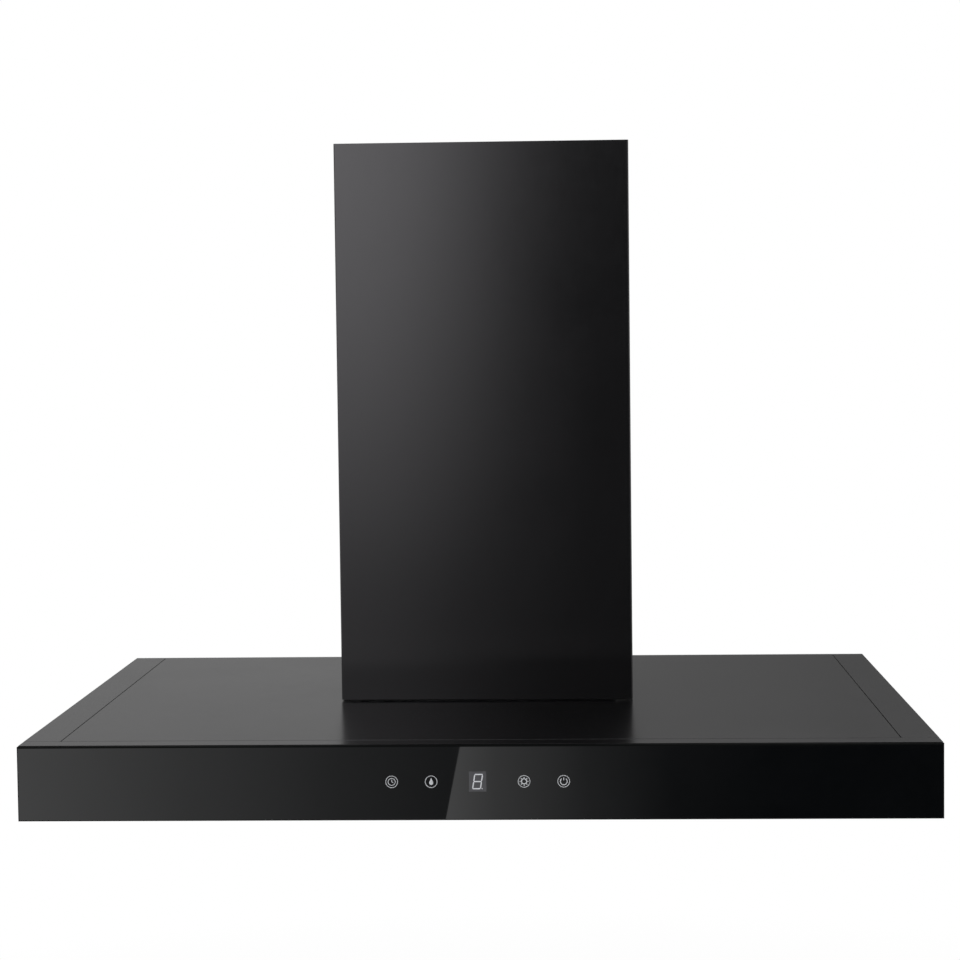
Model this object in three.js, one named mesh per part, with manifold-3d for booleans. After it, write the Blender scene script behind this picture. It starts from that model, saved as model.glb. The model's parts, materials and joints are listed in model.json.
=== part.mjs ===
// Wall-mounted chimney range hood. Millimetres, +Z up, wall at y = 0, front towards -Y.
// The origin is the middle of the canopy's back face, where it lies on the wall.
import * as THREE from 'three';
import { mergeVertices } from 'three/addons/utils/BufferGeometryUtils.js';
import Module from 'manifold-3d';

const wasm = await Module();
wasm.setup();

// ---------------------------------------------------------------- driving dimensions

// Fits shared by all pieces
const seatGap = 0.3; // between a piece and what carries it
const seamGap = 0.8; // visible seam between two outer sheets
const boreClearance = 0.35; // round a pin, screw or shaft
const collarSides = 48; // flat sides of the duct collar and its flaps
const roundSides = 28; // flat sides of a large round piece
const smallSides = 12; // flat sides of a small round piece

// Canopy
const canopyWidth = 898;
const canopyDepth = 500;
const canopyHeight = 74;
const canopySheet = 1.2;
const glassThickness = 5;
const glassChamfer = 0.6;
const lipDepth = 24; // from the glass face to the front seam
const endBandWidth = 36.5;
const panelFlange = 12; // turned-down edge of the top panel

// Underside and filters
const pivotStripDepth = 54; // steel between the filters and the wall
const lampStripDepth = 90; // steel between the filters and the front rail
const filterSideStrip = 20;
const filterDivider = 24;
const pocketFlange = 19; // turned-up edge round each filter opening
const filterSideClearance = 1.5;
const filterThickness = 18;
const filterSheet = 1;
const filterLip = 12;
const latchZone = 48; // width of the filter's front lip, which holds the latch
const pinRadius = 2.5;
const pinInset = 5; // from the filter's rear face
const pinHeight = 5.5; // above the filter's lower face
const pinReach = 2.5; // past the flange that carries it
const baffleWidth = 33;
const baffleLegHeight = 5;
const baffleCount = 7; // in the lower row
const baffleSeatDepth = 8; // on the frame's front lip
const baffleStripLand = 0.5; // of the end strips past the channels

// Filter latch
const cupWidth = 76;
const cupHeight = 12.5;
const cupRim = 3;
const thumbWidth = 58;
const thumbHeight = 9;
const thumbThickness = 2;
const fingerRoom = 14;
const tongueWidth = 16;
const tongueThickness = 3;
const tongueCatch = 5;
const latchTravel = 8;
const springRadius = 2.8;
const springWire = 0.8;
const springTurns = 6;
const springPressed = 9.4; // coil length with the latch drawn back

// Lamps
const lampSideInset = 149; // from the canopy's side to the lamp's centre
const lampRadius = 29; // hole in the underside pan
const bezelRimWidth = 5;
const bezelThickness = 1.2;
const lensRadius = 25;
const lensThickness = 3;
const lampBodyHeight = 18;
const lampFinCount = 2;
const lampFinGroove = 2.5;

// Touch control behind the glass
const symbolInnerSpacing = 45; // from the display to the inner symbols
const symbolOuterSpacing = 83.7;
const padRadius = 6.2;
const displayWidth = 17.4;
const displayHeight = 21;
const displayDepth = 6.5;
const boardWidth = 216;
const boardHeight = 46;
const boardThickness = 1.6;
const carrierWall = 2;
const carrierRoom = 2; // between the board and the carrier's wall

// Boxes inside the canopy and on the blower
const ledDriverSize = [82, 38, 20];
const terminalBoxSize = [96, 56, 34];
const controlBoxSize = [96, 56, 26];
const boxWall = 2;
const boxLidThickness = 2.5;
const boxSpacing = 60; // between the terminal box and the control box
const boxRearSpace = 12;
const glandRadius = 9;
const glandBore = 4.5;
const glandLength = 14;
const glandNutLength = 5;

// Lower chimney cover
const coverWidth = 316;
const coverDepth = 282;
const coverHeight = 602;
const coverSheet = 1;
const coverShadowGap = 0.7;
const coverWallGap = 1.5;
const coverReturn = 10;
const stayHeight = 26;
const stayWidth = 22;
const stayThickness = 3;
const stayFoot = 14;
const screwRadius = 2;
const screwHeadRadius = 3.8;
const screwHeadHeight = 2;
const screwLength = 7;

// Upper chimney cover
const coverClearance = 0.8;
const upperCoverWallGap = 3.5;
const upperCoverDrop = 2; // of its top edge below the lower cover's
const louvreCount = 7;
const louvrePitch = 10;
const louvreHeight = 3.4;
const louvreLength = 130;
const louvreTopMargin = 70;
const wallStripHeight = 30;
const wallStripThickness = 1.8;
const wallStripEar = 55;
const wallStripDrop = 12; // below the upper cover's top edge
const wallStripStep = 6.5;
const wallScrewHole = 3;
const wallScrewSpacing = 200;

// Blower chassis
const chassisWidth = 280;
const chassisDepth = 262;
const chassisHeight = 330;
const chassisSheet = 1.5;
const chassisFoot = 11; // turned-out edge that stands on the top panel
const hangerHeight = 44; // of the back plate above the chassis
const keyholeSpacing = 210;
const keyholeHeadRadius = 6.5;
const keyholeSlotRadius = 3.2;
const keyholeSlotLength = 12;
const keyholeTopMargin = 20;
const footScrewInset = 40;
const chassisReturn = 12; // turned-in rear edge that the back plate is fixed to

// Blower
const impellerRadius = 78;
const impellerWidth = 104;
const bladeCount = 30;
const bladeDepth = 14;
const bladeThickness = 1.4;
const bladeSweep = 0.1; // radians that the outer edge leads the inner one
const rimWidth = 3;
const rimLand = 1.6; // ring of each cage that lies on the disc
const hubRadius = 13;
const hubLength = 18;
const discThickness = 2.4;
const shaftRadius = 4;
const scrollClearance = 8;
const scrollGrowth = 27;
const scrollSheet = 1.5;
const scrollSideRoom = 9;
const scrollFloor = 20; // above the canopy's top
const scrollRearSpace = 7;
const inletRadius = 60;
const outletDepth = 112;
const outletFlange = 6;
const motorRadius = 42;
const motorStandOut = 3; // of the motor's end past the volute's side
const motorBossRadius = 16;
const motorBossLength = 4;
const motorPlate = 2.5;
const motorPlateShare = 0.7; // of the motor's radius that the bracket's centre covers
const motorArmWidth = 14;
const motorArmCount = 3;
const motorArmOverlap = 12;
const capacitorRadius = 17;
const capacitorLength = 52;
const capacitorDrop = 45; // below the chassis top

// Outlet collar and damper
const collarRadius = 75;
const collarWall = 2.5;
const collarHeight = 92;
const collarFlange = 10;
const collarFlangeThickness = 2;
const ledgeWidth = 3.5;
const ledgeThickness = 2;
const damperHeight = 14; // of the axle above the collar's foot
const damperAxleRadius = 2;
const knuckleWall = 1.3;
const knuckleLength = 14;
const outerKnuckleShare = 0.7; // of the way from the axle's middle to the collar's ledge
const innerKnuckleShare = 0.35;
const flapThickness = 1.2;
const flapClearance = 1.2;
const flapEdgeGap = 1; // between the flap's straight edge and the other flap's knuckles

// ---------------------------------------------------------------- derived planes

const halfCanopy = canopyWidth / 2;
const topZ = canopyHeight / 2;
const bottomZ = -canopyHeight / 2;
const glassFrontY = -canopyDepth;
const glassBackY = glassFrontY + glassThickness;
const railFrontY = glassBackY + seatGap;
const railBackY = glassFrontY + lipDepth;
const backPanelY = -canopySheet;
const bandX = halfCanopy - endBandWidth;
const lampX = halfCanopy - lampSideInset;
const panelX = bandX - seamGap;
const panelFrontY = railBackY + seamGap;
const panelBackY = backPanelY - seatGap;

const panTopZ = bottomZ + canopySheet;
const openingFrontY = panelFrontY + lampStripDepth;
const openingBackY = panelBackY - pivotStripDepth;
const openingInnerX = filterDivider / 2;
const openingOuterX = panelX - filterSideStrip;
const pocketTopZ = bottomZ + pocketFlange;

const filterInnerX = openingInnerX + filterSideClearance;
const filterOuterX = openingOuterX - filterSideClearance;
const filterRearGap = Math.hypot(pinInset, pinHeight) - pinInset + seatGap;
const filterBackY = openingBackY - filterRearGap;
const filterFrontY = openingFrontY + filterSideClearance;
const filterTopZ = bottomZ + filterThickness;
const pivotY = filterBackY - pinInset;
const pivotZ = bottomZ + pinHeight;
const filterMidX = (filterInnerX + filterOuterX) / 2;

const cupFrontY = filterFrontY + filterSheet + seatGap;
const cupDepth = 2 * filterSheet + fingerRoom + thumbThickness + 2 * seatGap + springPressed + latchTravel;
const cupBackY = cupFrontY + cupDepth;
const cupBottomZ = bottomZ + filterSheet + seatGap;
const cupTopZ = cupBottomZ + cupHeight;
const tongueZ = panTopZ + seatGap;
const thumbY = cupFrontY + filterSheet + fingerRoom;
const tongueTipY = openingFrontY - canopySheet - tongueCatch;

const coverBottomZ = topZ + coverShadowGap;
const coverTopZ = coverBottomZ + coverHeight;
const coverInnerX = coverWidth / 2 - coverSheet;
const upperCoverX = coverInnerX - coverClearance;
const upperCoverFrontY = -coverDepth + coverSheet + coverClearance;
const upperCoverTopZ = coverTopZ - upperCoverDrop;

const chassisBottomZ = topZ + seatGap;
const chassisTopZ = chassisBottomZ + chassisHeight;
const chassisInnerX = chassisWidth / 2 - chassisSheet;
const footTopZ = chassisBottomZ + chassisSheet;
const footOuterX = chassisWidth / 2 + chassisFoot;
const stayOuterX = coverInnerX - seatGap;
const stayBottomZ = footTopZ + seatGap;
const stayTopZ = stayBottomZ + stayHeight;
const stayY = -coverDepth / 2;
const upperCoverBottomZ = stayTopZ + seatGap;

const scrollStart = impellerRadius + scrollClearance;
const scrollTurn = 1.5 * Math.PI; // from the tongue at the top round to the outer wall
const scrollRadius = (angle) => scrollStart + (scrollGrowth * angle) / scrollTurn;
const voluteHalf = impellerWidth / 2 + scrollSideRoom + scrollSheet;
const impellerY = -(chassisSheet + scrollRearSpace + scrollSheet + scrollRadius(Math.PI / 2));
const impellerZ = topZ + scrollFloor + scrollSheet + scrollRadius(Math.PI);
const outletFrontY = impellerY - scrollRadius(scrollTurn);
const outletBackY = outletFrontY + outletDepth;
const outletTopZ = chassisTopZ - chassisSheet - seatGap;
const collarY = (outletFrontY + outletBackY) / 2;
const collarBottomZ = chassisTopZ + seatGap;
const damperZ = collarBottomZ + damperHeight;

// ---------------------------------------------------------------- geometry helpers

const hood = new THREE.Group();

function boxBetween([x0, y0, z0], [x1, y1, z1]) {
  const geometry = new THREE.BoxGeometry(x1 - x0, y1 - y0, z1 - z0);
  return geometry.translate((x0 + x1) / 2, (y0 + y1) / 2, (z0 + z1) / 2);
}

function outline(points) {
  return new THREE.Shape(points.map(([u, v]) => new THREE.Vector2(u, v)));
}

// An outline drawn in (u, v) and pushed from one height to the other along Z.
function prismZ(points, z0, z1) {
  const geometry = new THREE.ExtrudeGeometry(outline(points), { depth: z1 - z0, bevelEnabled: false });
  return geometry.translate(0, 0, z0);
}

// The same with (u, v) read as (y, z), along X.
function prismX(points, x0, x1) {
  const turn = new THREE.Matrix4().set(0, 0, 1, 0, 1, 0, 0, 0, 0, 1, 0, 0, 0, 0, 0, 1);
  return prismZ(points, x0, x1).applyMatrix4(turn);
}

// The same with (u, v) read as (z, x), along Y.
function prismY(points, y0, y1) {
  const turn = new THREE.Matrix4().set(0, 1, 0, 0, 0, 0, 1, 0, 1, 0, 0, 0, 0, 0, 0, 1);
  return prismZ(points, y0, y1).applyMatrix4(turn);
}

function rodZ(radius, x, y, z0, z1, sides = smallSides) {
  const geometry = new THREE.CylinderGeometry(radius, radius, z1 - z0, sides);
  return geometry.rotateX(Math.PI / 2).translate(x, y, (z0 + z1) / 2);
}

function rodX(radius, y, z, x0, x1, sides = smallSides) {
  const geometry = new THREE.CylinderGeometry(radius, radius, x1 - x0, sides);
  return geometry.rotateZ(Math.PI / 2).translate((x0 + x1) / 2, y, z);
}

function rodY(radius, x, z, y0, y1, sides = smallSides) {
  const geometry = new THREE.CylinderGeometry(radius, radius, y1 - y0, sides);
  return geometry.translate(x, (y0 + y1) / 2, z);
}

// A ring or turned piece from a closed profile of [radius, height], about Z at (x, y).
function turnedZ(profile, x, y, z, sides = roundSides) {
  const points = [...profile, profile[0]].map(([r, h]) => new THREE.Vector2(r, h));
  return new THREE.LatheGeometry(points, sides).rotateX(Math.PI / 2).translate(x, y, z);
}

function solidOf(geometry) {
  const bare = geometry.clone();
  bare.deleteAttribute('normal');
  bare.deleteAttribute('uv');
  const merged = mergeVertices(bare, 1e-4);
  const mesh = new wasm.Mesh({
    numProp: 3,
    vertProperties: merged.attributes.position.array,
    triVerts: new Uint32Array(merged.index.array),
  });
  const solid = new wasm.Manifold(mesh);
  if (solid.volume() > 0) return solid;
  const flipped = new Uint32Array(merged.index.array).reverse();
  mesh.triVerts = flipped;
  return new wasm.Manifold(mesh);
}

function geometryOf(solid) {
  const mesh = solid.getMesh();
  const geometry = new THREE.BufferGeometry();
  geometry.setAttribute('position', new THREE.BufferAttribute(mesh.vertProperties, 3));
  geometry.setIndex(new THREE.BufferAttribute(mesh.triVerts, 1));
  return geometry;
}

function join(...geometries) {
  return geometryOf(geometries.map(solidOf).reduce((all, next) => all.add(next)));
}

function cut(geometry, ...tools) {
  return geometryOf(tools.map(solidOf).reduce((rest, tool) => rest.subtract(tool), solidOf(geometry)));
}

function mirrored(geometry) {
  return geometryOf(solidOf(geometry).mirror([1, 0, 0]));
}

function place(name, geometry, material) {
  const shaded = geometry.index ? geometry.toNonIndexed() : geometry;
  shaded.deleteAttribute('normal');
  shaded.computeVertexNormals();
  const mesh = new THREE.Mesh(shaded, material);
  mesh.name = name;
  hood.add(mesh);
}

// A piece on the right (+X) and its mirror image on the left.
function placePair(name, geometry, material) {
  place(name.replace('SIDE', 'right'), geometry, material);
  place(name.replace('SIDE', 'left'), mirrored(geometry), material);
}

// ---------------------------------------------------------------- materials

function finish(color, roughness, metalness) {
  return new THREE.MeshStandardMaterial({ color, roughness, metalness });
}

const blackSteel = finish(0x26262a, 0.35, 0.6);
const blackGlass = finish(0x08090b, 0.05, 0);
const galvanised = finish(0x9a9da0, 0.45, 0.9);
const stainless = finish(0xb4b6b8, 0.3, 1);
const aluminium = finish(0xc4c6c8, 0.35, 0.9);
const blackPlastic = finish(0x1b1b1d, 0.55, 0);
const whitePlastic = finish(0xe6e6e2, 0.5, 0);
const circuitGreen = finish(0x1e5a38, 0.5, 0);
const opalLens = finish(0xf2f2ee, 0.35, 0);
const springSteel = finish(0x8e9092, 0.3, 1);
const smokedPlastic = finish(0x2a2c30, 0.3, 0);

// ---------------------------------------------------------------- canopy

function frontGlass() {
  const c = glassChamfer;
  const section = [
    [glassFrontY + c, bottomZ],
    [glassBackY, bottomZ],
    [glassBackY, topZ],
    [glassFrontY + c, topZ],
    [glassFrontY, topZ - c],
    [glassFrontY, bottomZ + c],
  ];
  return prismX(section, -halfCanopy, halfCanopy);
}

// Folded channel behind the glass, closed at its ends, with a window for the touch control.
function frontRail() {
  const t = canopySheet;
  const body = boxBetween([-halfCanopy, railFrontY, bottomZ], [halfCanopy, railBackY, topZ]);
  const hollow = boxBetween(
    [-halfCanopy + t, railFrontY + t, bottomZ + t],
    [halfCanopy - t, railBackY + t, topZ - t],
  );
  const { x, z } = carrierHalf();
  const window = boxBetween(
    [-x - seatGap, railFrontY - t, -z - seatGap],
    [x + seatGap, railFrontY + 2 * t, z + seatGap],
  );
  return cut(body, hollow, window);
}

// C-shaped end panel: top band, side wall and bottom return in one folded sheet.
function endPanel() {
  const t = canopySheet;
  const section = [
    [topZ, bandX],
    [topZ, halfCanopy],
    [bottomZ, halfCanopy],
    [bottomZ, bandX],
    [bottomZ + t, bandX],
    [bottomZ + t, halfCanopy - t],
    [topZ - t, halfCanopy - t],
    [topZ - t, bandX],
  ];
  return prismY(section, railBackY + seatGap, panelBackY);
}

// Shallow tray turned down at its edges, with the mouth that the blower draws through.
function topPanel() {
  const t = canopySheet;
  const body = boxBetween([-panelX, panelFrontY, topZ - panelFlange], [panelX, panelBackY, topZ]);
  const hollow = boxBetween(
    [-panelX + t, panelFrontY + t, topZ - 2 * panelFlange],
    [panelX - t, panelBackY - t, topZ - t],
  );
  const mouthX = chassisInnerX - chassisFoot;
  const mouth = boxBetween(
    [-mouthX, -chassisDepth + chassisSheet + chassisFoot, topZ - 2 * t],
    [mouthX, -chassisSheet - chassisFoot, topZ + t],
  );
  const holes = footScrewHoles(topZ - 2 * t, topZ + t);
  return cut(body, hollow, mouth, ...holes);
}

function backPanel() {
  return boxBetween([-halfCanopy, backPanelY, bottomZ], [halfCanopy, 0, topZ]);
}

// Bottom sheet with a turned-up edge round each filter opening and a hole for each lamp.
function undersidePan() {
  const t = canopySheet;
  const sheet = boxBetween([-panelX, panelFrontY, bottomZ], [panelX, panelBackY, panTopZ]);
  const pocket = boxBetween(
    [openingInnerX - t, openingFrontY - t, bottomZ],
    [openingOuterX + t, openingBackY + t, pocketTopZ],
  );
  const opening = boxBetween(
    [openingInnerX, openingFrontY, bottomZ - t],
    [openingOuterX, openingBackY, pocketTopZ + t],
  );
  const pinBore = rodX(
    pinRadius + boreClearance,
    pivotY,
    pivotZ,
    openingInnerX - 2 * t,
    openingOuterX + 2 * t,
  );
  const slotX = tongueWidth / 2 + filterSideClearance;
  const latchSlot = boxBetween(
    [filterMidX - slotX, openingFrontY - 2 * t, panTopZ],
    [filterMidX + slotX, openingFrontY + t, tongueZ + tongueThickness + seatGap],
  );
  const lampHole = rodZ(lampRadius, lampX, lampY(), bottomZ - t, panTopZ + t, roundSides);
  const rightTools = [opening, pinBore, latchSlot, lampHole];
  return cut(join(sheet, pocket, mirrored(pocket)), ...rightTools, ...rightTools.map(mirrored));
}

function lampY() {
  return panelFrontY + lampStripDepth / 2;
}

// ---------------------------------------------------------------- lamps

function lampBezel() {
  const outer = lampRadius + bezelRimWidth;
  const sleeve = lampRadius - seatGap;
  const bore = lensRadius + seatGap;
  const profile = [
    [bore, -bezelThickness],
    [outer, -bezelThickness],
    [outer, 0],
    [sleeve, 0],
    [sleeve, lensThickness],
    [bore, lensThickness],
  ];
  return turnedZ(profile, lampX, lampY(), bottomZ - seatGap);
}

function lampLens() {
  const z = bottomZ - seatGap - bezelThickness;
  return rodZ(lensRadius, lampX, lampY(), z, z + lensThickness, roundSides);
}

// Heat sink with turned grooves, standing on the pan round the bezel's sleeve.
function lampBody() {
  const outer = lampRadius + bezelRimWidth;
  const core = outer - bezelRimWidth;
  const z0 = panTopZ + seatGap;
  const ceiling = lensThickness + seatGap;
  const pitch = (lampBodyHeight - ceiling) / lampFinCount;
  const body = rodZ(outer, lampX, lampY(), z0, z0 + lampBodyHeight, roundSides);
  const recess = rodZ(lampRadius + seatGap, lampX, lampY(), z0 - 1, z0 + ceiling, roundSides);
  const grooves = Array.from({ length: lampFinCount }, (_, i) => {
    const high = ceiling + pitch * (i + 1) - lampFinGroove / 2;
    const low = high - lampFinGroove;
    const groove = [[core, low], [outer + 1, low], [outer + 1, high], [core, high]];
    return turnedZ(groove, lampX, lampY(), z0);
  });
  return cut(body, recess, ...grooves);
}

// A closed electronics box standing on the pan.
function ledDriver() {
  const [w, d, h] = ledDriverSize;
  const z0 = panTopZ + seatGap;
  return boxBetween([-w / 2, lampY() - d / 2, z0], [w / 2, lampY() + d / 2, z0 + h]);
}

// ---------------------------------------------------------------- touch control

function carrierHalf() {
  const room = carrierRoom + carrierWall;
  return { x: boardWidth / 2 + room, z: boardHeight / 2 + room };
}

function boardFrontY() {
  return glassBackY + seatGap + displayDepth + seatGap;
}

function touchCarrier() {
  const { x, z } = carrierHalf();
  const w = carrierWall;
  const floorY = boardFrontY() + boardThickness + seatGap;
  const body = boxBetween([-x, railFrontY, -z], [x, floorY + w, z]);
  const hollow = boxBetween([-x + w, railFrontY - w, -z + w], [x - w, floorY, z - w]);
  return cut(body, hollow);
}

function slabBehindGlass(width, height, y, thickness) {
  return boxBetween([-width / 2, y, -height / 2], [width / 2, y + thickness, height / 2]);
}

function touchBoard() {
  const y = boardFrontY();
  return slabBehindGlass(boardWidth, boardHeight, y, boardThickness);
}

function displayModule() {
  const y = glassBackY + seatGap;
  return slabBehindGlass(displayWidth, displayHeight, y, displayDepth);
}

function touchPad(x) {
  return rodY(padRadius, x, 0, glassBackY + seatGap, boardFrontY() - seatGap);
}

// ---------------------------------------------------------------- grease filters

// Channel-section frame, open inwards, with two pivot pins at the rear.
function filterFrame() {
  const t = filterSheet;
  const body = boxBetween(
    [filterInnerX, filterFrontY, bottomZ],
    [filterOuterX, filterBackY, filterTopZ],
  );
  const hollow = boxBetween(
    [filterInnerX + t, filterFrontY + t, bottomZ + t],
    [filterOuterX - t, filterBackY - t, filterTopZ - t],
  );
  const through = boxBetween(
    [filterInnerX + filterLip, filterFrontY + latchZone, bottomZ - t],
    [filterOuterX - filterLip, filterBackY - filterLip, filterTopZ + t],
  );
  const pinEnd = filterSideClearance + canopySheet + pinReach;
  const innerPin = rodX(pinRadius, pivotY, pivotZ, filterInnerX - pinEnd, filterInnerX + t / 2);
  const outerPin = rodX(pinRadius, pivotY, pivotZ, filterOuterX - t / 2, filterOuterX + pinEnd);
  const fingerHole = boxBetween(
    [filterMidX - cupWidth / 2 + cupRim, cupFrontY + cupRim, bottomZ - t],
    [filterMidX + cupWidth / 2 - cupRim, cupBackY - cupRim, bottomZ + 1.5 * t],
  );
  const slot = tongueSlot(filterFrontY - t, filterFrontY + 2 * t);
  const shell = cut(body, hollow, through, fingerHole, slot);
  return join(shell, innerPin, outerPin);
}

function tongueSlot(y0, y1) {
  const x = tongueWidth / 2 + seatGap;
  const z1 = tongueZ + tongueThickness + seatGap;
  return boxBetween([filterMidX - x, y0, tongueZ - seatGap], [filterMidX + x, y1, z1]);
}

// Two staggered rows of channels, joined by a strip at each end.
function filterBaffles() {
  const t = filterSheet;
  const x0 = filterInnerX + t + seatGap;
  const x1 = filterOuterX - t - seatGap;
  const y0 = filterFrontY + latchZone - baffleSeatDepth;
  const y1 = filterBackY - t - seatGap;
  const z0 = bottomZ + t + seatGap;
  const z1 = filterTopZ - t - seatGap;
  const pitch = (x1 - x0 - 2 * baffleStripLand - baffleWidth) / baffleCount;
  const lowZ = z0 + baffleStripLand;
  const highZ = z1 - baffleStripLand;
  const channel = (x, base, tip) => {
    const back = base < tip ? base + t : base - t;
    return prismY(
      [
        [base, x - baffleWidth / 2],
        [base, x + baffleWidth / 2],
        [tip, x + baffleWidth / 2],
        [tip, x + baffleWidth / 2 - t],
        [back, x + baffleWidth / 2 - t],
        [back, x - baffleWidth / 2 + t],
        [tip, x - baffleWidth / 2 + t],
        [tip, x - baffleWidth / 2],
      ],
      y0 + t / 2,
      y1 - t / 2,
    );
  };
  const firstX = x0 + baffleStripLand + baffleWidth / 2;
  const upper = Array.from({ length: baffleCount + 1 }, (_, i) => {
    return channel(firstX + pitch * i, highZ, highZ - baffleLegHeight);
  });
  const lower = Array.from({ length: baffleCount }, (_, i) => {
    return channel(firstX + pitch * (i + 0.5), lowZ, lowZ + baffleLegHeight);
  });
  const frontStrip = boxBetween([x0, y0, z0], [x1, y0 + t, z1]);
  const rearStrip = boxBetween([x0, y1 - t, z0], [x1, y1, z1]);
  return join(frontStrip, rearStrip, ...upper, ...lower);
}

// Finger cup, open downwards, that stands on the frame's front lip.
function latchCup() {
  const t = filterSheet;
  const half = cupWidth / 2;
  const body = boxBetween(
    [filterMidX - half, cupFrontY, cupBottomZ],
    [filterMidX + half, cupBackY, cupTopZ],
  );
  const hollow = boxBetween(
    [filterMidX - half + t, cupFrontY + t, cupBottomZ - t],
    [filterMidX + half - t, cupBackY - t, cupTopZ - t],
  );
  return cut(body, hollow, tongueSlot(cupFrontY - t, cupFrontY + 2 * t));
}

// Tongue over the pan's edge, with the thumb plate that pulls it back.
function latchSlide() {
  const tongue = boxBetween(
    [filterMidX - tongueWidth / 2, tongueTipY, tongueZ],
    [filterMidX + tongueWidth / 2, thumbY + thumbThickness / 2, tongueZ + tongueThickness],
  );
  const thumb = boxBetween(
    [filterMidX - thumbWidth / 2, thumbY, tongueZ],
    [filterMidX + thumbWidth / 2, thumbY + thumbThickness, tongueZ + thumbHeight],
  );
  return join(tongue, thumb);
}

// Open coil between the thumb plate and the cup's rear wall.
function latchSpring() {
  const y0 = thumbY + thumbThickness + seatGap + springWire / 2;
  const y1 = cupBackY - filterSheet - seatGap - springWire / 2;
  const z = tongueZ + thumbHeight - springRadius - springWire / 2 - seatGap;
  const stepsPerTurn = 8;
  const wireSides = 5;
  const steps = springTurns * stepsPerTurn;
  const positions = [];
  const indices = [];
  for (let i = 0; i <= steps; i += 1) {
    const turn = (2 * Math.PI * i) / stepsPerTurn;
    const out = new THREE.Vector3(Math.cos(turn), 0, Math.sin(turn));
    const axisPoint = new THREE.Vector3(filterMidX, y0 + ((y1 - y0) * i) / steps, z);
    const centre = axisPoint.addScaledVector(out, springRadius);
    for (let j = 0; j < wireSides; j += 1) {
      const a = (2 * Math.PI * j) / wireSides;
      const point = centre.clone().addScaledVector(out, (springWire / 2) * Math.cos(a));
      point.y += (springWire / 2) * Math.sin(a);
      positions.push(point.x, point.y, point.z);
    }
  }
  const ring = (i, j) => i * wireSides + (j % wireSides);
  for (let i = 0; i < steps; i += 1) {
    for (let j = 0; j < wireSides; j += 1) {
      indices.push(ring(i, j), ring(i, j + 1), ring(i + 1, j));
      indices.push(ring(i, j + 1), ring(i + 1, j + 1), ring(i + 1, j));
    }
  }
  for (let j = 1; j < wireSides - 1; j += 1) {
    indices.push(ring(0, 0), ring(0, j + 1), ring(0, j));
    indices.push(ring(steps, 0), ring(steps, j), ring(steps, j + 1));
  }
  const geometry = new THREE.BufferGeometry();
  geometry.setAttribute('position', new THREE.Float32BufferAttribute(positions, 3));
  geometry.setIndex(indices);
  return geometryOf(solidOf(geometry));
}

// ---------------------------------------------------------------- chimney covers

// Folded U with a small return at each rear edge, as (x, y) points.
function coverSection(halfWidth, frontY, rearY) {
  const t = coverSheet;
  return [
    [-halfWidth, frontY],
    [halfWidth, frontY],
    [halfWidth, rearY],
    [halfWidth - coverReturn, rearY],
    [halfWidth - coverReturn, rearY - t],
    [halfWidth - t, rearY - t],
    [halfWidth - t, frontY + t],
    [-halfWidth + t, frontY + t],
    [-halfWidth + t, rearY - t],
    [-halfWidth + coverReturn, rearY - t],
    [-halfWidth + coverReturn, rearY],
    [-halfWidth, rearY],
  ];
}

function lowerCover() {
  const section = coverSection(coverWidth / 2, -coverDepth, -coverWallGap);
  const hole = rodX(screwRadius + boreClearance, stayY, stayScrewZ(), -coverWidth, coverWidth);
  return cut(prismZ(section, coverBottomZ, coverTopZ), hole);
}

function upperCover() {
  const section = coverSection(upperCoverX, upperCoverFrontY, -upperCoverWallGap);
  const midY = (upperCoverFrontY - upperCoverWallGap) / 2;
  const louvres = Array.from({ length: louvreCount }, (_, i) => {
    const z = upperCoverTopZ - louvreTopMargin - louvrePitch * i;
    return boxBetween(
      [-coverWidth, midY - louvreLength / 2, z - louvreHeight],
      [coverWidth, midY + louvreLength / 2, z],
    );
  });
  return cut(prismZ(section, upperCoverBottomZ, upperCoverTopZ), ...louvres);
}

// Stepped strip that the wall screws hold, with an ear along each side of the upper cover.
function upperWallStrip() {
  const t = wallStripThickness;
  const earX = upperCoverX - coverSheet - seatGap;
  const stripX = upperCoverX - coverReturn - seatGap;
  const stepY = -wallStripStep;
  const frontY = stepY - wallStripEar;
  const right = [
    [stripX, 0],
    [stripX, stepY + t],
    [earX, stepY + t],
    [earX, frontY],
    [earX - t, frontY],
    [earX - t, stepY],
    [stripX - t, stepY],
    [stripX - t, -t],
  ];
  const left = right.map(([x, y]) => [-x, y]).reverse();
  const z1 = upperCoverTopZ - wallStripDrop;
  const z0 = z1 - wallStripHeight;
  const holeZ = (z0 + z1) / 2;
  const holes = [-0.5, 0.5].map((side) => rodY(wallScrewHole, side * wallScrewSpacing, holeZ, -2 * t, t));
  return cut(prismZ([...right, ...left], z0, z1), ...holes);
}

function stayScrewZ() {
  return stayBottomZ + stayHeight / 2;
}

// Angle on the chassis foot that the lower cover is screwed to, and the upper cover rests on.
function coverStay() {
  const tab = boxBetween(
    [stayOuterX - stayThickness, stayY - stayWidth / 2, stayBottomZ],
    [stayOuterX, stayY + stayWidth / 2, stayTopZ],
  );
  const foot = boxBetween(
    [stayOuterX - stayFoot, stayY - stayWidth / 2, stayBottomZ],
    [stayOuterX - stayThickness / 2, stayY + stayWidth / 2, stayBottomZ + chassisSheet],
  );
  const boreStart = stayOuterX - 2 * stayThickness;
  const bore = rodX(screwRadius + boreClearance, stayY, stayScrewZ(), boreStart, stayOuterX + 1);
  return cut(join(tab, foot), bore);
}

function coverScrew() {
  const seatX = coverWidth / 2 + seatGap;
  const head = rodX(screwHeadRadius, stayY, stayScrewZ(), seatX, seatX + screwHeadHeight);
  const shank = rodX(screwRadius, stayY, stayScrewZ(), seatX - screwLength, seatX + screwHeadHeight / 2);
  return join(head, shank);
}

// ---------------------------------------------------------------- blower chassis

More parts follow.
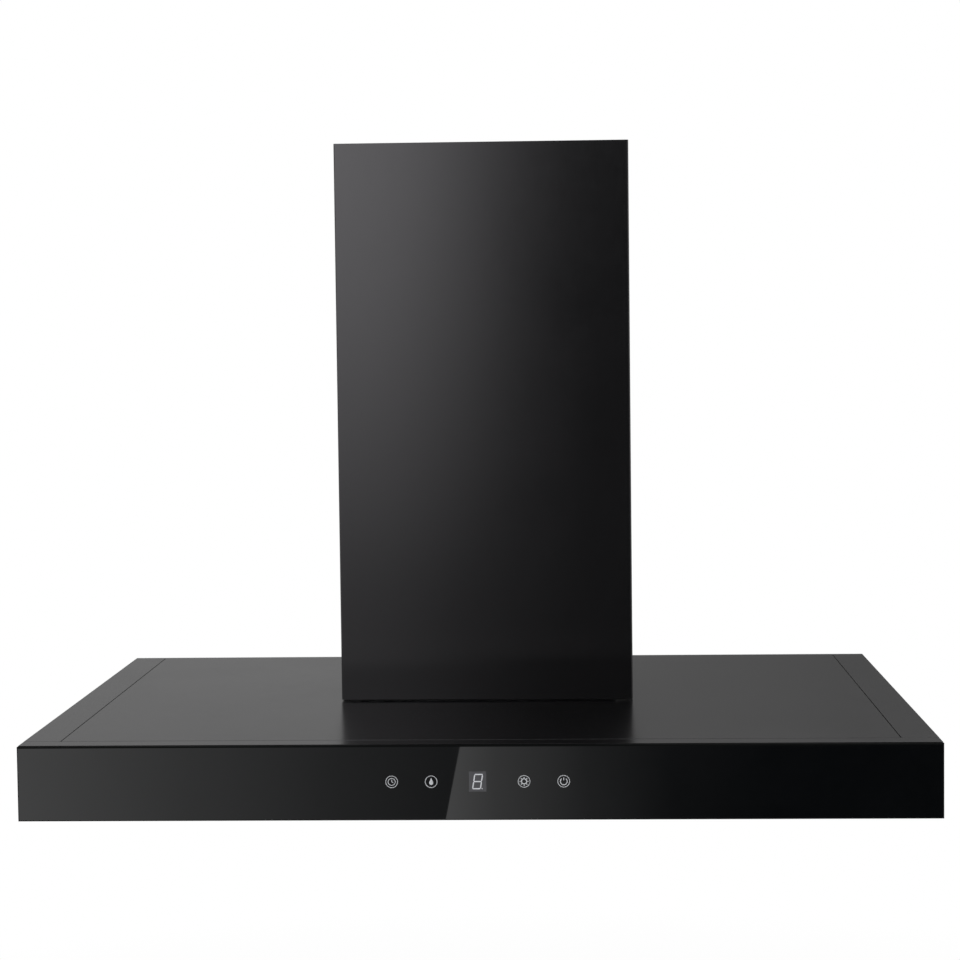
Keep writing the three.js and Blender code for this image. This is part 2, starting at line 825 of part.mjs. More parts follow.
// Centres of the four screw holes that join the chassis foot to the top panel.
// Centres of the four screw holes that join the chassis foot to the top panel.
function footScrewPlaces() {
  const x = chassisWidth / 2 + chassisFoot / 2;
  const rear = -footScrewInset;
  const front = -chassisDepth + footScrewInset;
  return [[x, front], [x, rear], [-x, front], [-x, rear]];
}

function footScrewHoles(z0, z1) {
  return footScrewPlaces().map(([x, y]) => rodZ(screwRadius + boreClearance, x, y, z0, z1));
}

// Steel box, open below and behind, with a turned-out foot and turned-in rear edges.
function blowerChassis() {
  const t = chassisSheet;
  const halfX = chassisWidth / 2;
  const rearY = -t - seatGap;
  const body = boxBetween([-halfX, -chassisDepth, chassisBottomZ], [halfX, rearY, chassisTopZ]);
  const foot = boxBetween(
    [-footOuterX, -chassisDepth - chassisFoot, chassisBottomZ],
    [footOuterX, -chassisFoot, footTopZ],
  );
  const hollow = boxBetween(
    [-halfX + t, -chassisDepth + t, chassisBottomZ - t],
    [halfX - t, rearY - t, chassisTopZ - t],
  );
  const rearMouth = boxBetween(
    [-halfX + chassisReturn, rearY - 2 * t, chassisBottomZ - t],
    [halfX - chassisReturn, rearY + t, chassisTopZ - t],
  );
  const outletRadius = collarRadius - collarWall;
  const outlet = rodZ(outletRadius, 0, collarY, chassisTopZ - 2 * t, chassisTopZ + t, roundSides);
  const screwHoles = footScrewHoles(chassisBottomZ - t, footTopZ + t);
  return cut(join(body, foot), hollow, rearMouth, outlet, ...screwHoles);
}

// Flat plate behind the chassis that hangs on the wall by two keyholes above it.
function chassisBackPlate() {
  const halfX = chassisWidth / 2;
  const plate = boxBetween(
    [-halfX, -chassisSheet, chassisBottomZ],
    [halfX, 0, chassisTopZ + hangerHeight],
  );
  return cut(plate, ...[-0.5, 0.5].flatMap((side) => keyhole(side * keyholeSpacing)));
}

// Round head below, narrow slot above, so that the hook's neck slides up into the slot.
function keyhole(x) {
  const t = chassisSheet;
  const slotTopZ = chassisTopZ + hangerHeight - keyholeTopMargin + keyholeSlotRadius;
  const headZ = slotTopZ - keyholeSlotLength - keyholeSlotRadius;
  const head = rodY(keyholeHeadRadius, x, headZ, -2 * t, t);
  const slot = boxBetween([x - keyholeSlotRadius, -2 * t, headZ], [x + keyholeSlotRadius, t, slotTopZ]);
  return [head, slot];
}

// ---------------------------------------------------------------- blower

// The scroll's outline as (y, z), grown outwards by the given thickness.
function scrollOutline(grow, outletZ) {
  const steps = 30;
  const points = [];
  for (let i = 0; i <= steps; i += 1) {
    const angle = (scrollTurn * i) / steps;
    const radius = scrollRadius(angle) + grow;
    points.push([impellerY + radius * Math.sin(angle), impellerZ + radius * Math.cos(angle)]);
  }
  points.push([outletFrontY - grow, outletZ], [outletBackY + grow, outletZ]);
  return points;
}

// Curved sheet between the two side plates, with the flange round the outlet.
function voluteWrap() {
  const t = scrollSheet;
  const half = voluteHalf - t - seatGap;
  const shell = prismX(scrollOutline(t, outletTopZ), -half, half);
  const hollow = prismX(scrollOutline(0, outletTopZ + t), -voluteHalf, voluteHalf);
  const flange = boxBetween(
    [-voluteHalf - outletFlange, outletFrontY - outletFlange, outletTopZ - t],
    [voluteHalf + outletFlange, outletBackY + outletFlange, outletTopZ],
  );
  const mouth = boxBetween(
    [-voluteHalf + t, outletFrontY, outletTopZ - 2 * t],
    [voluteHalf - t, outletBackY, outletTopZ + t],
  );
  return join(cut(shell, hollow), cut(flange, mouth));
}

// Flat side of the volute with the round inlet, on the right.
function voluteSide() {
  const t = scrollSheet;
  const plate = prismX(scrollOutline(t, outletTopZ - t - seatGap), voluteHalf - t, voluteHalf);
  return cut(plate, rodX(inletRadius, impellerY, impellerZ, 0, voluteHalf + t, roundSides));
}

// Curved blade as (y, z) points about the impeller's axis.
function bladeOutline(start) {
  const inner = impellerRadius - bladeDepth;
  const point = (share, side) => {
    const radius = inner + 0.5 + (bladeDepth - 1) * share;
    const angle = start + bladeSweep * share * share + (side * bladeThickness) / (2 * radius);
    return [impellerY + radius * Math.sin(angle), impellerZ + radius * Math.cos(angle)];
  };
  return [point(0, -1), point(0.5, -1), point(1, -1), point(1, 1), point(0.5, 1), point(0, 1)];
}

function ringX(outer, inner, x0, x1) {
  const outerRod = rodX(outer, impellerY, impellerZ, x0, x1, roundSides);
  return cut(outerRod, rodX(inner, impellerY, impellerZ, x0 - 1, x1 + 1, roundSides));
}

// Centre disc of the double-inlet impeller, with the hub that the shaft turns.
function impellerDisc() {
  const halfDisc = discThickness / 2;
  const disc = rodX(impellerRadius - 1, impellerY, impellerZ, -halfDisc, halfDisc, roundSides);
  const hub = rodX(hubRadius, impellerY, impellerZ, 0, hubLength);
  const bore = rodX(shaftRadius + seatGap, impellerY, impellerZ, -discThickness, hubLength + 1);
  return cut(join(disc, hub), bore);
}

// One row of blades on the right of the disc, between a land on the disc and the outer rim.
function impellerCage() {
  const start = discThickness / 2 + seatGap;
  const end = impellerWidth / 2;
  const inner = impellerRadius - bladeDepth;
  const land = ringX(impellerRadius, inner, start, start + rimLand);
  const rim = ringX(impellerRadius, inner, end - rimWidth, end);
  const blades = Array.from({ length: bladeCount }, (_, i) => {
    const angle = (2 * Math.PI * i) / bladeCount;
    return prismX(bladeOutline(angle), start + rimLand / 2, end - rimWidth / 2);
  });
  return join(land, rim, ...blades);
}

// The motor's inner face, by the impeller's disc, and its outer face, past the volute's side.
const motorInnerX = -discThickness / 2 - motorBossLength - seatGap;
const motorOuterX = -voluteHalf - motorStandOut;

function motor() {
  const can = rodX(motorRadius, impellerY, impellerZ, motorOuterX, motorInnerX, roundSides);
  const bossEndX = motorInnerX + motorBossLength;
  const boss = rodX(motorBossRadius, impellerY, impellerZ, motorInnerX - 1, bossEndX);
  const bore = rodX(shaftRadius + boreClearance, impellerY, impellerZ, motorOuterX - 1, 0);
  return cut(join(can, boss), bore);
}

function motorShaft() {
  return rodX(shaftRadius, impellerY, impellerZ, motorOuterX - 2 * motorPlate, hubLength + 2);
}

// Plate on the motor's end with three arms, whose feet stand on the volute round the inlet.
function motorBracket() {
  const plateX1 = motorOuterX - seatGap;
  const plateX0 = plateX1 - motorPlate;
  const half = motorArmWidth / 2;
  const footStart = inletRadius + 1;
  const reach = inletRadius + motorArmOverlap;
  const centre = rodX(motorRadius * motorPlateShare, impellerY, impellerZ, plateX0, plateX1, roundSides);
  const arms = Array.from({ length: motorArmCount }, (_, i) => {
    const arm = boxBetween([plateX0, -half, 0], [plateX1, half, reach]);
    const foot = boxBetween([plateX0, -half, footStart], [-voluteHalf - seatGap, half, reach]);
    return join(arm, foot).rotateX((2 * Math.PI * i) / motorArmCount).translate(0, impellerY, impellerZ);
  });
  const bore = rodX(shaftRadius + 2 * boreClearance, impellerY, impellerZ, plateX0 - 1, plateX1 + 1);
  return cut(join(centre, ...arms), bore);
}

function capacitor() {
  const x1 = chassisInnerX - seatGap;
  const y = -capacitorDrop;
  return rodX(capacitorRadius, y, chassisTopZ - capacitorDrop, x1 - capacitorLength, x1, roundSides);
}

// ---------------------------------------------------------------- boxes on the chassis

// Low corner of a box on the chassis top: +1 is the terminal box, -1 the control box.
function chassisBoxLow(side, [w, d]) {
  const x = side > 0 ? boxSpacing / 2 : -boxSpacing / 2 - w;
  return [x, -boxRearSpace - d, chassisTopZ + seatGap];
}

function openBox(low, [w, d, h]) {
  const [x, y, z] = low;
  const body = boxBetween(low, [x + w, y + d, z + h]);
  const hollow = boxBetween(
    [x + boxWall, y + boxWall, z + boxWall],
    [x + w - boxWall, y + d - boxWall, z + h + 1],
  );
  return cut(body, hollow);
}

function terminalBox() {
  const low = chassisBoxLow(1, terminalBoxSize);
  const { x, y, z } = glandPlace();
  const hole = rodX(glandBore + boxWall + boreClearance, y, z, x - 2 * boxWall, x + 1);
  return cut(openBox(low, terminalBoxSize), hole);
}

function boxLid(low, [w, d, h]) {
  const z = low[2] + h + seatGap;
  return boxBetween([low[0], low[1], z], [low[0] + w, low[1] + d, z + boxLidThickness]);
}

function glandPlace() {
  const [x, y, z] = chassisBoxLow(1, terminalBoxSize);
  return { x: x + terminalBoxSize[0], y: y + terminalBoxSize[1] / 2, z: z + terminalBoxSize[2] / 2 };
}

// Threaded body through the box wall with a six-sided clamping head outside and a nut inside.
function cableGland() {
  const { x, y, z } = glandPlace();
  const head = rodX(glandRadius, y, z, x + seatGap, x + seatGap + glandLength, 6);
  const nutX = x - boxWall - seatGap;
  const thread = rodX(glandBore + boxWall, y, z, nutX - glandNutLength, x + glandLength / 2);
  const nut = rodX(glandRadius, y, z, nutX - glandNutLength, nutX, 6);
  const bore = rodX(glandBore, y, z, x - glandLength * 2, x + glandLength * 2);
  return cut(join(head, thread, nut), bore);
}

// ---------------------------------------------------------------- outlet collar and damper

// Spigot for the duct, with a foot on the chassis top and a ledge that the flaps close on.
function outletCollar() {
  const inner = collarRadius - collarWall;
  const ledgeTop = damperHeight - flapThickness / 2 - seatGap;
  const profile = [
    [inner, 0],
    [collarRadius + collarFlange, 0],
    [collarRadius + collarFlange, collarFlangeThickness],
    [collarRadius, collarFlangeThickness],
    [collarRadius, collarHeight],
    [inner, collarHeight],
    [inner, ledgeTop],
    [inner - ledgeWidth, ledgeTop],
    [inner - ledgeWidth, ledgeTop - ledgeThickness],
    [inner, ledgeTop - ledgeThickness],
  ];
  const reach = collarRadius + 1;
  const bore = rodX(damperAxleRadius + boreClearance, collarY, damperZ, -reach, reach);
  return cut(turnedZ(profile, 0, collarY, collarBottomZ, collarSides), bore);
}

function damperAxle() {
  return rodX(damperAxleRadius, collarY, damperZ, -collarRadius - 1, collarRadius + 1);
}

// Half disc on the +Y side of the axle with a knuckle near each end; the other flap is turned
// half a turn about Z, and its knuckles sit further in.
function damperFlap(side, knuckleX) {
  const knuckleRadius = damperAxleRadius + boreClearance + knuckleWall;
  const radius = collarRadius - collarWall - flapClearance;
  const edge = knuckleRadius + flapEdgeGap;
  const z0 = damperZ - flapThickness / 2;
  const disc = rodZ(radius, 0, 0, z0, z0 + flapThickness, collarSides);
  const otherHalf = boxBetween([-2 * radius, -2 * radius, z0 - 1], [2 * radius, edge, z0 + 2]);
  const leaf = cut(disc, otherHalf);
  const knuckles = [-knuckleX, knuckleX].flatMap((x) => [
    rodX(knuckleRadius, 0, damperZ, x - knuckleLength / 2, x + knuckleLength / 2),
    boxBetween([x - knuckleLength / 2, 0, z0], [x + knuckleLength / 2, edge + 1, z0 + flapThickness]),
  ]);
  const bore = rodX(damperAxleRadius + boreClearance, 0, damperZ, -radius, radius);
  const flap = cut(join(leaf, ...knuckles), bore);
  return flap.rotateZ(side > 0 ? 0 : Math.PI).translate(0, collarY, 0);
}

// ---------------------------------------------------------------- assembly

place('front_glass', frontGlass(), blackGlass);
place('front_rail', frontRail(), blackSteel);
placePair('SIDE_end_panel', endPanel(), blackSteel);
place('top_panel', topPanel(), blackSteel);
place('back_panel', backPanel(), galvanised);
place('underside_pan', undersidePan(), blackSteel);

placePair('SIDE_lamp_bezel', lampBezel(), stainless);
placePair('SIDE_lamp_lens', lampLens(), opalLens);
placePair('SIDE_lamp_body', lampBody(), aluminium);
place('led_driver', ledDriver(), whitePlastic);

place('touch_carrier', touchCarrier(), blackPlastic);
place('touch_board', touchBoard(), circuitGreen);
place('display_module', displayModule(), smokedPlastic);
place('touch_pad_timer', touchPad(-symbolOuterSpacing), springSteel);
place('touch_pad_drop', touchPad(-symbolInnerSpacing), springSteel);
place('touch_pad_lamp', touchPad(symbolInnerSpacing), springSteel);
place('touch_pad_power', touchPad(symbolOuterSpacing), springSteel);

placePair('SIDE_filter_frame', filterFrame(), stainless);
placePair('SIDE_filter_baffles', filterBaffles(), stainless);
placePair('SIDE_filter_cup', latchCup(), stainless);
placePair('SIDE_latch_slide', latchSlide(), stainless);
placePair('SIDE_latch_spring', latchSpring(), springSteel);

place('lower_chimney_cover', lowerCover(), blackSteel);
place('upper_chimney_cover', upperCover(), blackSteel);
place('upper_wall_strip', upperWallStrip(), galvanised);
placePair('SIDE_cover_stay', coverStay(), galvanised);
placePair('SIDE_cover_screw', coverScrew(), blackSteel);

place('blower_chassis', blowerChassis(), galvanised);
place('chassis_back_plate', chassisBackPlate(), galvanised);
place('volute_wrap', voluteWrap(), galvanised);
placePair('volute_SIDE_side', voluteSide(), galvanised);
place('impeller_disc', impellerDisc(), galvanised);
placePair('impeller_SIDE_cage', impellerCage(), galvanised);
place('motor_shaft', motorShaft(), springSteel);
place('motor', motor(), blackPlastic);
place('motor_bracket', motorBracket(), galvanised);
place('capacitor', capacitor(), whitePlastic);

place('terminal_box', terminalBox(), blackPlastic);
place('terminal_box_lid', boxLid(chassisBoxLow(1, terminalBoxSize), terminalBoxSize), blackPlastic);
place('cable_gland', cableGland(), blackPlastic);
place('control_box', openBox(chassisBoxLow(-1, controlBoxSize), controlBoxSize), whitePlastic);
place('control_box_lid', boxLid(chassisBoxLow(-1, controlBoxSize), controlBoxSize), whitePlastic);

place('outlet_collar', outletCollar(), blackPlastic);
place('damper_axle', damperAxle(), springSteel);
const knuckleSpan = collarRadius - collarWall - ledgeWidth;
place('damper_flap_rear', damperFlap(1, knuckleSpan * outerKnuckleShare), blackPlastic);
place('damper_flap_front', damperFlap(-1, knuckleSpan * innerKnuckleShare), blackPlastic);

export default hood;
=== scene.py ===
"""Looks of a wall-mounted chimney range hood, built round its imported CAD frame.

Metres, in the frame's axes: the wall is y = 0, the front looks towards -Y, and z = 0 is the
canopy's middle height. Lengths are written in millimetres and turned into metres by mm().
"""

import json
import math

import bmesh
import bpy
from mathutils import Matrix, Vector


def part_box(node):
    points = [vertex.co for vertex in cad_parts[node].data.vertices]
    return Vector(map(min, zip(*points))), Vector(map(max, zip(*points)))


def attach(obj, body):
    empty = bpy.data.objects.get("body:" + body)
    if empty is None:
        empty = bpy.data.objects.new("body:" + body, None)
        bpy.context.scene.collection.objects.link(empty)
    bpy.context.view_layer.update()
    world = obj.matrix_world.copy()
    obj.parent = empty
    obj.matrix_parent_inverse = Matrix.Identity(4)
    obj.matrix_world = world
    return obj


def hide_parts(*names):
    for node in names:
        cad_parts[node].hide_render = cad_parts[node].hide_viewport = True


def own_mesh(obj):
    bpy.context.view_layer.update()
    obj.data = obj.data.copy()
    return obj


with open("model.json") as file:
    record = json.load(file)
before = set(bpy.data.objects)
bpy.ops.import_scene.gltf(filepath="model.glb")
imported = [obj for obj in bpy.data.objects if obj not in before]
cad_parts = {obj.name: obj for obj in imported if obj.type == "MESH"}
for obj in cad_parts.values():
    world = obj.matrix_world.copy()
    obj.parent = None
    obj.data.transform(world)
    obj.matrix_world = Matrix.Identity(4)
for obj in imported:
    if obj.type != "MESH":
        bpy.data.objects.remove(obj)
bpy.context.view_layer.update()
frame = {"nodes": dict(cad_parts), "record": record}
NODES = frame["nodes"]
SIDES = (("right", 1), ("left", -1))
TURN = 2 * math.pi


def mm(*values):
    """Millimetres as metres: one number, or a vector of three."""
    metres = [v / 1000 for v in values]
    return metres[0] if len(metres) == 1 else Vector(metres)


def in_mm(box):
    """The low and the high corner of a box in metres, as millimetres."""
    return [Vector(corner) * 1000 for corner in box]


# ------------------------------------------------------------------ sizes, in millimetres

CANOPY_HALF = 449
GLASS_FRONT = -499.88  # a hair behind the CAD face, which leaves room for the printed symbols
GLASS_BACK = -495
GLASS_ARRIS = 1.3
GLASS_HALF_HEIGHT = 36.6
PRINT_FRONT = -499.96
PRINT_BACK = -499.8

SYMBOL_MIDDLE = (0.35, 1.35)  # x, z of the printed row's middle
SYMBOL_SPACING_INNER = 45
SYMBOL_SPACING_OUTER = 83.3
SYMBOL_RING = 5.7  # to the middle of the printed line
SYMBOL_LINE = 0.55
DISPLAY_HALF = (8.4, 9.8)
DIGIT_HALF_HEIGHT = 7.5
DIGIT_HALF_WIDTH = 4.3
DIGIT_LINE = 1.05
DIGIT_NICK = 0.35  # gap between a bar's tip and the corner it points at
DIGIT_SLANT = 0.16  # sideways per upwards
DIGIT_POINT = 1.2  # its decimal point's distance from the figure
WINDOW_FRONT = -499.93  # between the glass and the face of the print
WINDOW_BACK = -499.5

LAMP_X = 300
LAMP_Y = -430.2
LAMP_SEAT = -37.3  # z of the lens and the trim, just under the pan
HEAT_SINK_FOOT = -35.5
LENS_RADIUS = 25

COVER_FOOT_GAP = 1.0  # shadow line under the chimney, besides the CAD clearance
COVER_SHEET = 1.0
COVER_RETURN = 10.0
COVER_BEND = 1.6

COLLAR_Y = -162
COLLAR_FOOT = 367.6

BLOWER_AXIS = (-105, 162.5)  # y, z of the motor shaft

COVER_SCREW = (158.3, -141, 52.4)  # under its head, just off the cover's side
FOOT_SCREWS = ((145.5, -222), (145.5, -40), (-145.5, -222), (-145.5, -40))
FOOT_SCREW_SEAT = 38.9


# ------------------------------------------------------------------ node helpers

FLOAT, VECTOR = "NodeSocketFloat", "NodeSocketVector"


def node(tree, kind, inputs=(), **settings):
    """A shader node with its settings and its input values or links, given by socket name."""
    made = tree.nodes.new(kind)
    for key, value in settings.items():
        setattr(made, key, value)
    for key, value in dict(inputs).items():
        if isinstance(value, bpy.types.NodeSocket):
            tree.links.new(value, made.inputs[key])
        else:
            made.inputs[key].default_value = value
    return made


def group(name, inputs, outputs):
    """An empty shader node group with named inputs (kind and default) and outputs (kind)."""
    tree = bpy.data.node_groups.new(name, "ShaderNodeTree")
    for key, (kind, default) in inputs.items():
        socket = tree.interface.new_socket(name=key, in_out="INPUT", socket_type=kind)
        if default is not None:
            socket.default_value = default
    for key, kind in outputs.items():
        tree.interface.new_socket(name=key, in_out="OUTPUT", socket_type=kind)
    return tree, tree.nodes.new("NodeGroupInput"), tree.nodes.new("NodeGroupOutput")


def place_group(tree, shared, **inputs):
    """The shared group as one node of a material, with its own values."""
    return node(tree, "ShaderNodeGroup", inputs=inputs, node_tree=shared)


def maths(tree, operation, a, b=0.0):
    """The outcome of one operation on two values."""
    made = node(tree, "ShaderNodeMath", inputs={0: a, 1: b}, operation=operation)
    return made.outputs[0]


def vector_maths(tree, operation, *vectors):
    """The node of a vector operation, which puts out a vector or a value."""
    inputs = dict(enumerate(vectors))
    return node(tree, "ShaderNodeVectorMath", inputs=inputs, operation=operation)


def noise(tree, vector, scale, detail, **more):
    """A soft noise node, with any other inputs by their names."""
    inputs = {"Vector": vector, "Scale": scale, "Detail": detail, **more}
    return node(tree, "ShaderNodeTexNoise", inputs=inputs)


def blend_colours(tree, share, a, b):
    """Colour a where share is 0, colour b where it is 1: sockets, or red, green and blue."""
    a, b = (c if isinstance(c, bpy.types.NodeSocket) else (*c, 1) for c in (a, b))
    inputs = {0: share, 6: a, 7: b}
    return node(tree, "ShaderNodeMix", inputs=inputs, data_type="RGBA").outputs[2]


def remap(tree, value, low, high, new_low, new_high):
    """The value moved from one range to another, and held at its ends."""
    inputs = {0: value, 1: low, 2: high, 3: new_low, 4: new_high}
    return node(tree, "ShaderNodeMapRange", inputs=inputs).outputs[0]


# ------------------------------------------------------------------ shared effects


def brushed_grain_group():
    """Long fine scratches. Stretch is how many times finer the grain is along each axis."""
    tree, given, out = group(
        "brushed_grain",
        {"Vector": (VECTOR, None), "Stretch": (VECTOR, (1, 1, 1)), "Fineness": (FLOAT, 60.0)},
        {"Grain": FLOAT},
    )
    stretched = vector_maths(
        tree, "MULTIPLY", given.outputs["Vector"], given.outputs["Stretch"]
    ).outputs[0]
    scratches = noise(tree, stretched, given.outputs["Fineness"], 5.0, Roughness=0.65)
    tree.links.new(scratches.outputs["Fac"], out.inputs["Grain"])
    return tree


def handling_group():
    """Faint clouds and wipe marks, as a mask from 0 to 1 for tone and gloss."""
    tree, given, out = group(
        "handling_marks",
        {"Vector": (VECTOR, None), "Size": (FLOAT, 6.0)},
        {"Marks": FLOAT},
    )
    place, size = given.outputs["Vector"], given.outputs["Size"]
    clouds = noise(tree, place, size, 3.0, Distortion=0.6)
    fine = noise(tree, place, maths(tree, "MULTIPLY", size, 14.0), 2.0)
    mixed = maths(
        tree,
        "ADD",
        maths(tree, "MULTIPLY", clouds.outputs["Fac"], 0.75),
        maths(tree, "MULTIPLY", fine.outputs["Fac"], 0.25),
    )
    tree.links.new(remap(tree, mixed, 0.35, 0.65, 0.0, 1.0), out.inputs["Marks"])
    return tree


def edge_highlight_and_rub_group():
    """1 along sharp edges, else 0: the mask of a painted edge highlight and of rubbed wear."""
    tree, given, out = group(
        "edge_highlight_and_rub",
        {"Vector": (VECTOR, None), "Radius": (FLOAT, 0.0008)},
        {"Edge": FLOAT},
    )
    rounded = node(
        tree, "ShaderNodeBevel", inputs={"Radius": given.outputs["Radius"]}, samples=4
    ).outputs["Normal"]
    flat = node(tree, "ShaderNodeNewGeometry").outputs["Normal"]
    likeness = vector_maths(tree, "DOT_PRODUCT", rounded, flat)
    turned_away = remap(tree, likeness.outputs["Value"], 0.995, 0.85, 0.0, 1.0)
    patchy = noise(tree, given.outputs["Vector"], 90.0, 2.0)
    share = remap(tree, patchy.outputs["Fac"], 0.3, 0.7, 0.35, 1.0)
    tree.links.new(maths(tree, "MULTIPLY", turned_away, share), out.inputs["Edge"])
    return tree


def spangle_group():
    """The frosted crystal patches of hot-dip zinc: a tone for each patch, and their borders."""
    tree, given, out = group(
        "zinc_spangle",
        {"Vector": (VECTOR, None), "Size": (FLOAT, 110.0)},
        {"Tone": FLOAT, "Height": FLOAT},
    )
    wander = mm(6, 6, 6)  # how far the patches' borders stray from straight
    bend = noise(tree, given.outputs["Vector"], 45.0, 2.0).outputs["Color"]
    shifted = vector_maths(tree, "MULTIPLY", bend, wander).outputs[0]
    place = vector_maths(tree, "ADD", given.outputs["Vector"], shifted).outputs[0]
    cells = node(
        tree, "ShaderNodeTexVoronoi", inputs={"Vector": place, "Scale": given.outputs["Size"]}
    )
    tone = node(tree, "ShaderNodeSeparateColor", inputs={0: cells.outputs["Color"]})
    tree.links.new(tone.outputs[0], out.inputs["Tone"])
    tree.links.new(cells.outputs["Distance"], out.inputs["Height"])
    return tree


def moulded_skin_group():
    """The fine leathery skin that a spark-eroded mould leaves on plastic."""
    tree, given, out = group(
        "moulded_skin",
        {"Vector": (VECTOR, None), "Fineness": (FLOAT, 900.0)},
        {"Height": FLOAT},
    )
    grains = noise(tree, given.outputs["Vector"], given.outputs["Fineness"], 3.0)
    tree.links.new(grains.outputs["Fac"], out.inputs["Height"])
    return tree


BRUSHED_GRAIN = brushed_grain_group()
HANDLING = handling_group()
EDGE_HIGHLIGHT_AND_RUB = edge_highlight_and_rub_group()
SPANGLE = spangle_group()
MOULDED_SKIN = moulded_skin_group()


# ------------------------------------------------------------------ materials


def start_material(name):
    """A new node material: its tree, its Principled shader and its Object coordinates."""
    material = bpy.data.materials.new(name)
    material.use_nodes = True
    tree = material.node_tree
    shader = tree.nodes["Principled BSDF"]
    place = node(tree, "ShaderNodeTexCoord").outputs["Object"]
    return material, tree, shader, place


def effect(tree, shared, place, **values):
    """The first output of a shared effect, placed with its own values."""
    return place_group(tree, shared, Vector=place, **values).outputs[0]


def surface(tree, shader, colour, rough, values=()):
    """Links the colour and the roughness, and sets what is even all over by its socket's name."""
    tree.links.new(colour, shader.inputs["Base Color"])
    tree.links.new(rough, shader.inputs["Roughness"])
    for key, value in dict(values).items():
        shader.inputs[key].default_value = value


def bump(tree, shader, height, strength, depth):
    """Relief on the surface, of a depth in millimetres."""
    inputs = {"Height": height, "Strength": strength, "Distance": mm(depth)}
    made = node(tree, "ShaderNodeBump", inputs=inputs)
    tree.links.new(made.outputs["Normal"], shader.inputs["Normal"])


def coated_steel(name, dark, light, gloss, stretch):
    """Fine brushed steel under a satin black coating. gloss is the range of roughness."""
    material, tree, shader, place = start_material(name)
    grain = effect(tree, BRUSHED_GRAIN, place, Stretch=stretch, Fineness=40.0)
    marks = effect(tree, HANDLING, place, Size=5.0)
    edge = effect(tree, EDGE_HIGHLIGHT_AND_RUB, place, Radius=mm(0.7))
    # Painted highlight: the edges are lightened, partly as rubbed wear and partly as a painted
    # edge highlight.
    highlight_and_rub_share, highlight_and_rub_paler, rub_matt = 0.45, 3.2, 0.6
    toned = blend_colours(tree, grain, dark, light)
    highlight_and_rub_colour = [c * highlight_and_rub_paler for c in light]
    colour = blend_colours(tree, maths(tree, "MULTIPLY", edge, highlight_and_rub_share), toned, highlight_and_rub_colour)
    matt = remap(tree, marks, 0.0, 1.0, *gloss)
    streak = remap(tree, grain, 0.3, 0.7, -0.02, 0.02)
    flat = maths(tree, "ADD", matt, streak)
    rough = maths(tree, "ADD", flat, maths(tree, "MULTIPLY", edge, rub_matt))
    even = {"Specular IOR Level": 0.515, "Specular Tint": (0.985, 0.96, 1.0, 1)}
    surface(tree, shader, colour, rough, even)
    bump(tree, shader, grain, 0.035, 0.3)
    return material


def polished_glass(name):
    """The face of black-backed toughened glass with a trace of finger marks."""
    material, tree, shader, place = start_material(name)
    marks = effect(tree, HANDLING, place, Size=9.0)
    face = blend_colours(tree, marks, (0.0015, 0.0018, 0.0021), (0.0024, 0.0027, 0.0031))
    surface(tree, shader, face, remap(tree, marks, 0.0, 1.0, 0.006, 0.018), {"IOR": 1.5})
    return material


def ground_glass_edge(name):
    """The matt ground sides and arrises of the same glass."""
    material, tree, shader, place = start_material(name)
    grain = effect(tree, MOULDED_SKIN, place, Fineness=2500.0)
    tone = blend_colours(tree, grain, (0.0008, 0.0010, 0.0010), (0.0016, 0.0020, 0.0019))
    rough = remap(tree, grain, 0.0, 1.0, 0.5, 0.65)
    surface(tree, shader, tone, rough, {"Specular IOR Level": 0.04})
    bump(tree, shader, grain, 0.2, 0.1)
    return material


def zinc_sheet(name):
    """Hot-dip galvanised sheet: frosted patches, a little aged."""
    material, tree, shader, place = start_material(name)
    patches = place_group(tree, SPANGLE, Vector=place, Size=190.0)
    marks = effect(tree, HANDLING, place, Size=8.0)
    tone = patches.outputs["Tone"]
    sheet = blend_colours(tree, tone, (0.36, 0.37, 0.38), (0.45, 0.46, 0.47))
    dulled = maths(tree, "MULTIPLY", marks, 0.35)
    aged = blend_colours(tree, dulled, sheet, (0.27, 0.28, 0.29))
    frosting = remap(tree, tone, 0.0, 1.0, 0.34, 0.5)
    rough = maths(tree, "ADD", frosting, maths(tree, "MULTIPLY", marks, 0.06))
    surface(tree, shader, aged, rough, {"Metallic": 0.9})
    bump(tree, shader, patches.outputs["Height"], 0.05, 0.2)
    return material


def bare_metal(name, dark, light, gloss, stretch, fineness=60.0):
    """Brushed, drawn or turned bare metal, with its grain along one axis."""
    material, tree, shader, place = start_material(name)
    grain = effect(tree, BRUSHED_GRAIN, place, Stretch=stretch, Fineness=fineness)
    broad = effect(tree, BRUSHED_GRAIN, place, Stretch=stretch, Fineness=fineness / 7)
    marks = effect(tree, HANDLING, place, Size=7.0)
    both = maths(tree, "MULTIPLY", maths(tree, "ADD", grain, broad), 0.5)
    tone = remap(tree, both, 0.36, 0.64, 0.0, 1.0)
    colour = blend_colours(tree, tone, dark, light)
    matt = remap(tree, marks, 0.0, 1.0, *gloss)
    streak = remap(tree, both, 0.36, 0.64, -0.07, 0.07)
    surface(tree, shader, colour, maths(tree, "ADD", matt, streak), {"Metallic": 1.0})
    bump(tree, shader, both, 0.2, 0.3)
    return material


